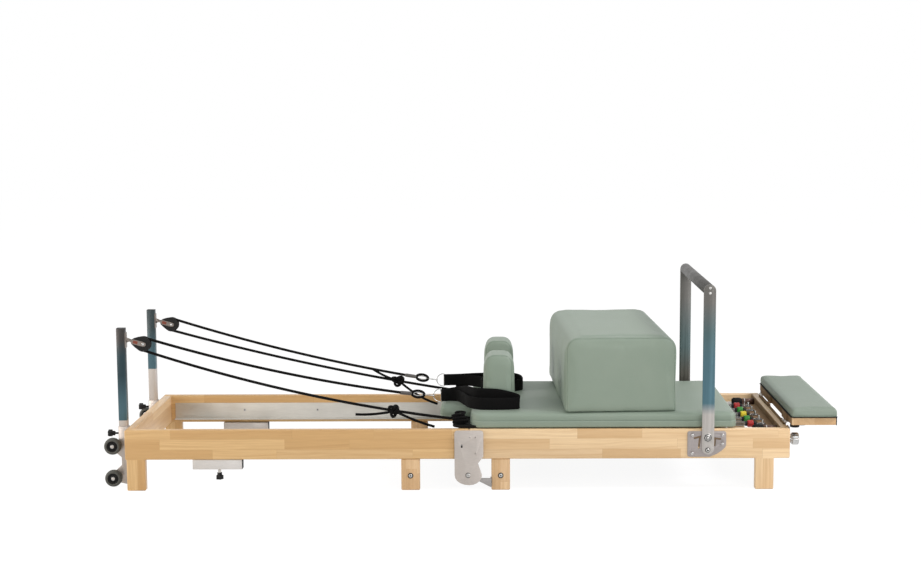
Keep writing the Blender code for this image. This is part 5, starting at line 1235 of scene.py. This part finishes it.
for side, sign in SIDES:
    centre = at(SHEAVE[0], sign * SHEAVE_Y, SHEAVE[1])
    pin = at(SWIVEL_X, sign * SHEAVE_Y, 0)
    pin.z = SHEAVE[1] + (SHEAVE[0] - SWIVEL_X) * math.tan(math.radians(BLOCK_RISE))
    toward = (pin - centre).normalized()
    across = toward.cross(ASIDE)
    reach = (pin - centre).length
    round_part = [math.radians(64 + 11.6 * i) for i in range(21)]
    guard = [(GUARD_RADIUS * math.cos(a), GUARD_RADIUS * math.sin(a)) for a in round_part]
    guard += [(reach * 0.50, -0.0175), (reach * 0.74, -0.0095), (reach * 0.78, -0.0050)]
    guard += [(a, -b) for a, b in guard[-1:-4:-1]]
    edge = [(-0.0105, 0.0), (-0.0085, 0.0055), (-0.002, 0.0078), (0.006, 0.0084), (reach * 0.68, 0.0084),
            (reach * 0.76, 0.0052), (reach * 0.82, 0.0030), (reach + 0.001, 0.0028), (reach + 0.0035, 0.0)]
    link = edge + [(a, -b) for a, b in edge[-2:0:-1]]
    inlay = [(reach * 0.36, -0.0052), (reach * 0.66, -0.0052), (reach * 0.66, 0.0052),
             (reach * 0.36, 0.0052)]
    block = bmesh.new()
    for flank in (-1, 1):
        def on_flank(a, b, d, flank=flank):
            return centre + toward * a + across * b + ASIDE * flank * d

        plate(block, guard, on_flank, 0.0072, 0.0092, 1)
        plate(block, link, on_flank, 0.0094, 0.0108, 0)
        plate(block, inlay, on_flank, 0.0100, 0.0113, 2)
        lathe(block, [(r, a * flank) for r, a in PIN_END], centre, "Y", 24, [3] * 4)
    swivel = [pin + ASIDE * d for d in (-0.0122, -0.004, 0.004, 0.0122)]
    sweep(block, swivel, round_profile(0.0027, 14), upright=UP)
    add_shape(f"pulley_block_{side}_built", block, f"pulley_block_{side}",
              (LINK_STEEL, BLACK_PLASTIC, COPPER, CHROME), (f"pulley_block_{side}",))
print("pulleys done")


# %% [markdown]
# ## Springs
# Five springs lie side by side between the foot end board and the carriage. A coil is a
# wire wound evenly along a line, which is what Geometry Nodes' spiral and sweep do well:
# one small tree with named inputs makes all five.

# %% Springs
def new_group(name, **inputs):
    """An empty Geometry Nodes tree and the sockets of its inputs, each given by name and kind."""
    tree = bpy.data.node_groups.new(name, "GeometryNodeTree")
    tree.interface.new_socket("Geometry", in_out="OUTPUT", socket_type="NodeSocketGeometry")
    for key, kind in inputs.items():
        tree.interface.new_socket(key, in_out="INPUT", socket_type=f"NodeSocket{kind}")
    return tree, tree.nodes.new("NodeGroupInput").outputs


def coil_tree():
    """Geometry Nodes that wind a wire into a spring along X."""
    tree, given = new_group("wound_coil", turns="Float", coil_radius="Float", length="Float",
                            wire_radius="Float", finish="Material")
    spiral = put(tree, "GeometryNodeCurveSpiral", {
        "Resolution": 14, "Rotations": given["turns"], "Start Radius": given["coil_radius"],
        "End Radius": given["coil_radius"], "Height": given["length"]
    })
    wire = put(tree, "GeometryNodeCurvePrimitiveCircle", {"Resolution": 6, "Radius": given["wire_radius"]})
    tube = put(tree, "GeometryNodeCurveToMesh",
               {"Curve": spiral.outputs[0], "Profile Curve": wire.outputs[0], "Fill Caps": True})
    turned = put(tree, "GeometryNodeTransform",
                 {"Geometry": tube.outputs[0], "Rotation": (0, math.radians(90), 0)})
    smooth = put(tree, "GeometryNodeSetShadeSmooth", {0: turned.outputs[0]})
    real = put(tree, "GeometryNodeRealizeInstances", {0: smooth.outputs[0]})
    painted = put(tree, "GeometryNodeSetMaterial",
                  {"Geometry": real.outputs[0], "Material": given["finish"]})
    put(tree, "NodeGroupOutput", {0: painted.outputs[0]})
    return tree


def grown(name, tree, points=(), **inputs):
    """A plain mesh made by a Geometry Nodes tree from loose points, its inputs given by name."""
    maker = new_object("maker", bpy.data.meshes.new("maker"))
    maker.data.from_pydata(points, [], [])
    modifier = maker.modifiers.new("nodes", "NODES")
    modifier.node_group = tree
    for item in tree.interface.items_tree:
        if item.name in inputs:
            modifier[item.identifier] = inputs[item.name]
    settle(maker)
    mesh = maker.data
    mesh.name = name
    bpy.data.objects.remove(maker)
    return mesh


WOUND = coil_tree()
SPRING_Z = 0.200
SPRING_GAP = 0.084
COIL_PITCH = 0.0036
COIL_START = 1.5923
GRIP_END = 2.2590
COIL_END = GRIP_END - 0.040
HOOK_X = 2.2800
HOOK_RADIUS = 0.0115
GRIP_PARTS = (
    (((0.0, -0.0130), (0.0105, -0.0130), (0.0126, -0.0112), (0.0132, -0.0060), (0.0124, -0.0020),
      (0.0132, 0.0020), (0.0132, 0.0062), (0.0112, 0.0090), (0.0, 0.0090)), 0),
    (((0.0, -0.0205), (0.0084, -0.0205), (0.0092, -0.0195), (0.0092, -0.0128), (0.0, -0.0128)), 2),
    (((0.0, 0.0088), (0.0088, 0.0088), (0.0088, 0.0150), (0.0060, 0.0203), (0.0, 0.0203)), 2),
)
for i, colour in enumerate(("red", "green", "yellow", "green", "red")):
    number = i + 1
    y = SPRING_GAP * (i - 2)
    length = COIL_END - COIL_START
    mesh = grown(f"spring_{number}_coil", WOUND, turns=length / COIL_PITCH, coil_radius=0.0072,
                 length=length, wire_radius=0.0012, finish=SPRING_STEEL)
    mesh.transform(Matrix.Translation(at(COIL_START, y, SPRING_Z)))
    coil = add_piece(f"spring_{number}_coil", mesh, None, (), (f"spring_{number}",))
    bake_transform(coil)

    # the coloured grip between two black caps, then the hook's shank and its ring
    fitting = bmesh.new()
    for outline, finish in GRIP_PARTS:
        lathe(fitting, outline, at(GRIP_END - 0.020, y, SPRING_Z), "X", 24, [finish] * len(outline))
    shank = [at(GRIP_END + x, y, SPRING_Z) for x in (-0.002, 0.004, 0.0105)]
    sweep(fitting, shank, round_profile(0.0022), upright=UP, finish=1)
    hook = [
        at(HOOK_X + HOOK_RADIUS * math.cos(a), y + HOOK_RADIUS * math.sin(a), SPRING_Z)
        for a in steps_round(28)
    ]
    sweep(fitting, hook, round_profile(0.0021, 8), True, UP, 1)
    add_shape(f"spring_{number}_grip", fitting, "foot_frame", (GRIPS[colour], SPRING_STEEL, BLACK_PLASTIC))
print("springs done")


# %% [markdown]
# ## Wheels and rollers
# A transport wheel is a grey tyre on a black rim with a bright bolt at its middle. Each is
# turned from one outline round its axle, so its faces can be told apart by their place on
# the outline. The carriage rollers are pale nylon with a shallow dish.

# %% Wheels and rollers
WHEEL = ((0.0042, 0.004), (0.0120, 0.004), (0.0130, 0.007), (0.0185, 0.007), (0.0195, 0.001),
         (0.0215, 0), (0.0262, 0.0010), (0.0290, 0.0040), (0.0300, 0.0085))
WHEEL_FINISHES = [1, 2, 2, 2, *[0] * 9, 2, 2, 2, 1, 1]
WHEEL_BOLT = ((0.0, 0.0005), (0.0060, 0.0005), (0.0068, 0.0015), (0.0068, 0.004), (0.0, 0.004))
ROLLER = ((0.0044, 0), (0.0100, 0), (0.0110, 0.002), (0.0190, 0.002), (0.0200, 0), (0.0232, 0),
          (0.0240, 0.0010))


def axle_of(node):
    """The middle of a round node that turns about Y, and half its width."""
    low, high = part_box(node)
    return (Vector(low) + Vector(high)) / 2, (high[1] - low[1]) / 2


def both_faces(outline, half):
    """A closed outline from (radius, depth below the face) pairs and their mirror image."""
    near_face = [(radius, -half + depth) for radius, depth in outline]
    far_face = [(radius, half - depth) for radius, depth in outline[::-1]]
    return near_face + far_face + near_face[:1]


for side, sign in SIDES:
    for level in ("high", "low"):
        name = f"wheel_{level}_{side}"
        centre, half = axle_of(name)
        turned = bmesh.new()
        lathe(turned, both_faces(WHEEL, half), centre, "Y", 48, WHEEL_FINISHES)
        bolt = [(radius, (half - depth) * sign) for radius, depth in WHEEL_BOLT]
        lathe(turned, bolt, centre, "Y", 24, [3] * 4)
        add_shape(name + "_turned", turned, name, (TYRE, BLACK_PLASTIC, BLACK_PLASTIC, BOLT_STEEL), (name,))
    for end in ("head", "foot"):
        name = f"roller_{end}_{side}"
        centre, half = axle_of(name)
        turned = bmesh.new()
        lathe(turned, both_faces(ROLLER, half), centre, "Y", 48)
        add_shape(name + "_turned", turned, name, (NYLON,), (name,))
print("wheels done")


# %% [markdown]
# ## Screws, bolts and small fittings
# Screws come in rows, so one small Geometry Nodes tree puts a domed head with a dark socket
# on each point it is given. Larger bolts, collars and knobs are turned or swept one by one.

# %% Screws, bolts and small fittings
def screw_tree():
    """Geometry Nodes that put a screw head on every point, facing along Z."""
    tree, given = new_group("screw_heads", points="Geometry", radius="Float", height="Float",
                            head="Material", socket="Material")
    bowl = put(tree, "GeometryNodeMeshUVSphere", {"Segments": 20, "Rings": 12, "Radius": 1.0})
    size = put(tree, "ShaderNodeCombineXYZ", {0: given["radius"], 1: given["radius"], 2: given["height"]})
    dome = put(tree, "GeometryNodeTransform", {"Geometry": bowl.outputs[0], "Scale": size.outputs[0]})
    soft = put(tree, "GeometryNodeSetShadeSmooth", {0: dome.outputs[0]})
    painted = put(tree, "GeometryNodeSetMaterial", {"Geometry": soft.outputs[0], "Material": given["head"]})
    hex_radius = math_node(tree, "MULTIPLY", given["radius"], 0.45)
    hexagon = put(tree, "GeometryNodeMeshCylinder", {"Vertices": 6, "Radius": hex_radius, "Depth": 0.0004})
    lift = put(tree, "ShaderNodeCombineXYZ", {2: given["height"]})
    raised_hex = put(tree, "GeometryNodeTransform",
                     {"Geometry": hexagon.outputs[0], "Translation": lift.outputs[0]})
    dark = put(tree, "GeometryNodeSetMaterial",
               {"Geometry": raised_hex.outputs[0], "Material": given["socket"]})
    both = tree.nodes.new("GeometryNodeJoinGeometry")
    tree.links.new(painted.outputs[0], both.inputs[0])
    tree.links.new(dark.outputs[0], both.inputs[0])
    placed = put(tree, "GeometryNodeInstanceOnPoints",
                 {"Points": given["points"], "Instance": both.outputs[0]})
    real = put(tree, "GeometryNodeRealizeInstances", {0: placed.outputs[0]})
    put(tree, "NodeGroupOutput", {0: real.outputs[0]})
    return tree


SCREWS = screw_tree()


def screws(name, body, places, sign, radius, height, head=BOLT_STEEL, socket=BLACK_PLASTIC):
    """Screw heads at places of the drawing, all facing along Y by a sign."""
    turn = Matrix.Rotation(math.radians(-90 * sign), 3, "X")
    points = [tuple(turn.inverted() @ at(*place)) for place in places]
    mesh = grown(name, SCREWS, points, radius=radius, height=height, head=head, socket=socket)
    mesh.transform(turn.to_4x4())
    add_piece(name, mesh, body)


def discs(shape, centre, sign, sizes):
    """Flat turned discs with eased rims, standing out from a face along Y."""
    for radius, tall, finish in sizes:
        lathe(shape, [(0.0, sign * tall), (radius - 0.0005, sign * tall), (radius, sign * (tall - 0.0004)),
                      (radius, -sign * 0.0003), (0.0, -sign * 0.0003)], centre, "Y", 28, [finish] * 4)


KNOB_SIDES, KNOB_FLUTES = 60, 10


def fluted_knob(shape, middle, sections, radius, rim):
    """A fluted knob on an axle along X, from (share of the radius, along) pairs; one row is its rim."""
    rings = []
    for share, along in sections:
        ring = []
        for a in steps_round(KNOB_SIDES):
            size = radius * share * (1 + 0.09 * math.cos(KNOB_FLUTES * a) * share ** 4)
            ring.append(shape.verts.new(middle + Vector((along, size * math.cos(a), size * math.sin(a)))))
        rings.append(ring)
    for row, (ring, after) in enumerate(zip(rings, rings[1:])):
        for i in range(KNOB_SIDES):
            nxt = (i + 1) % KNOB_SIDES
            face = shape.faces.new((ring[i], ring[nxt], after[nxt], after[i]))
            face.smooth = True
            face.material_index = int(row == rim)


def cross_strip(shape, x, low_y, high_y, middle_z, thick, tall):
    """A straight strip across the frame."""
    run = [at(x, y, middle_z) for y in (low_y, (low_y + high_y) / 2, high_y)]
    sweep(shape, run, band_profile(thick, tall), upright=UP)


SCREW_FIRST, SCREW_GAP, SCREW_Z = 0.038, 0.286, 0.1645
SCREW_ROW = [SCREW_FIRST + SCREW_GAP * i for i in range(8)]
HINGE_SCREWS = ((1.2395, 0.1916), (1.2381, 0.134), (1.2200, 0.1916))
HINGE_X, HINGE_Z = 1.2131, 0.055
HINGE_FACE = 0.3556
BAR_X, BAR_PIVOT_Z, BAR_LOCK_Z = 2.0586, 0.145, 0.189
GATE_HOLES = ((-0.0552, 0.0537), (0.0520, 0.0537), (-0.0562, -0.0120), (0.0513, 0.0221))
LEG_BOLT = ((0.0096, 0.0026, 1), (0.0066, 0.0031, 0), (0.0026, 0.0034, 1))
HINGE_BOLT = ((0.0096, 0.0010, 2), (0.0074, 0.0026, 0), (0.0028, 0.0029, 1))
PIVOT_BOLT = ((0.0088, 0.0008, 1), (0.0066, 0.0040, 0), (0.0030, 0.0044, 1))
LOCK_BOLT = ((0.0148, 0.0010, 0), (0.0130, 0.0014, 1), (0.0104, 0.0040, 0), (0.0078, 0.0044, 1),
             (0.0058, 0.0066, 0))
STOP_PARTS = (
    (((0.0118, 2.270), (0.0128, 2.271), (0.0128, 2.3175), (0.0118, 2.3178)), 0),
    (((0.0121, 2.278), (0.0136, 2.279), (0.0136, 2.2815), (0.0121, 2.2825)), 1),
    (((0.0, 2.2318), (0.0110, 2.2318), (0.0152, 2.2370), (0.0155, 2.2640), (0.0121, 2.2690)), 2),
)
KNOB = ((0.30, -0.0150), (0.94, -0.0150), (1.0, -0.0125), (1.0, 0.0060), (0.92, 0.0092), (0.35, 0.0098))
KNOB_END = ((0.0, 0.0114), (0.0060, 0.0114), (0.0075, 0.0094))
PLATFORM_FOOT = ((0.0, 0.0), (0.0150, 0.0), (0.0165, 0.0012), (0.0165, 0.0094), (0.0, 0.0094))
for side, sign in SIDES:
    for half in ("head", "foot"):
        low, high = extent(f"{half}_track_{side}")
        face = high.y if sign < 0 else low.y
        row = [(x, face, SCREW_Z) for x in SCREW_ROW if low.x + 0.02 < x < high.x - 0.02]
        screws(f"{half}_track_screws_{side}", f"{half}_frame", row, -sign, radius=0.0052, height=0.0003)
        low, high = extent(f"{half}_mid_leg_frame")
        bolt = bmesh.new()
        discs(bolt, at((low.x + high.x) / 2, sign * LEG_FACE, 0.053), sign, LEG_BOLT)
        add_shape(f"{half}_leg_bolt_{side}", bolt, f"{half}_frame", (BOLT_STEEL, BLACK_PLASTIC))

    outer = sign * HINGE_FACE
    screws(f"hinge_screws_{side}", "foot_frame", [(x, outer, z) for x, z in HINGE_SCREWS],
           sign, radius=0.0042, height=0.0010, head=PLATE_STEEL, socket=SHADED_ARM_STEEL)
    bolt = bmesh.new()
    discs(bolt, at(HINGE_X, outer, HINGE_Z), sign, HINGE_BOLT)
    discs(bolt, at(1.1906, outer, 0.1575), sign, ((0.0036, 0.0006, 2),))
    add_shape(f"hinge_bolt_{side}", bolt, "foot_frame", (BOLT_STEEL, SHADED_ARM_STEEL, BLACK_PLASTIC))

    low, high = extent(f"gate_plate_{side}")
    face = low.y if sign < 0 else high.y
    screws(f"gate_screws_{side}", "foot_frame",
           [(BAR_X + dx, face, BAR_PIVOT_Z + dz) for dx, dz in GATE_HOLES],
           sign, radius=0.0050, height=0.0016, head=CHROME, socket=GATE_STEEL)
    bolts = bmesh.new()
    discs(bolts, at(BAR_X - 0.001, sign * UPRIGHT_FACE, BAR_PIVOT_Z), sign, PIVOT_BOLT)
    discs(bolts, at(BAR_X - 0.001, sign * UPRIGHT_FACE, BAR_LOCK_Z), sign, LOCK_BOLT)
    add_shape(f"foot_bar_bolts_{side}", bolts, "foot_bar", (BOLT_STEEL, BLACK_PLASTIC))

    # a collar and ring on the carriage stop, so that only its end is rubber
    stop = bmesh.new()
    for outline, finish in STOP_PARTS:
        lathe(stop, outline, at(0, sign * 0.257, 0.200), "X", 28, [finish] * len(outline))
    add_shape(f"carriage_stop_collar_{side}", stop, "foot_frame", (STOP_BROWN, BOLT_STEEL, RUBBER))

    # a fluted knob over the platform stay's screw, and a rubber foot under the platform
    outer_x = extent(f"platform_bracket_{side}")[1].x
    middle = at(0, sign * 0.297, 0.172)
    knob = bmesh.new()
    fluted_knob(knob, middle, [(share, outer_x + along) for share, along in KNOB], radius=0.0200, rim=4)
    lathe(knob, [(radius, outer_x + along) for radius, along in KNOB_END], middle, "X", 24, [0] * 2)
    add_shape(f"platform_knob_{side}", knob, "foot_frame", (CHROME, BLACK_PLASTIC))
    foot = bmesh.new()
    lathe(foot, PLATFORM_FOOT, at(2.3700, sign * 0.3200, 0.2190), "Z", 28)
    add_shape(f"platform_foot_{side}", foot, "platform", (RUBBER,))

# dark wooden strips on the end board and the platform's edge, which leave one slot open between them; they
# stand for the shade seen in the gap, and their dark wood is painted shade
SHADE_STRIP_BOTTOM = 0.2170
STRIP_SPANS = ((-0.268, -0.185), (0.060, 0.268))
shade_strip = bmesh.new()
for low_y, high_y, top in ((-0.268, 0.268, 0.2212), *((*span, 0.2250) for span in STRIP_SPANS)):
    cross_strip(shade_strip, 2.3440, low_y, high_y, (SHADE_STRIP_BOTTOM + top) / 2, thick=0.0100, tall=top - SHADE_STRIP_BOTTOM)
add_shape("end_board_shade_strip", shade_strip, "foot_frame", (PAINTED_SHADE_WOOD,))
shade_cleats = bmesh.new()
for low_y, high_y in STRIP_SPANS:
    cross_strip(shade_cleats, 2.3510, low_y, high_y, 0.2425, thick=0.0076, tall=0.0240)
add_shape("platform_shade_strips", shade_cleats, "platform", (PAINTED_SHADE_WOOD,))
print("fittings done")
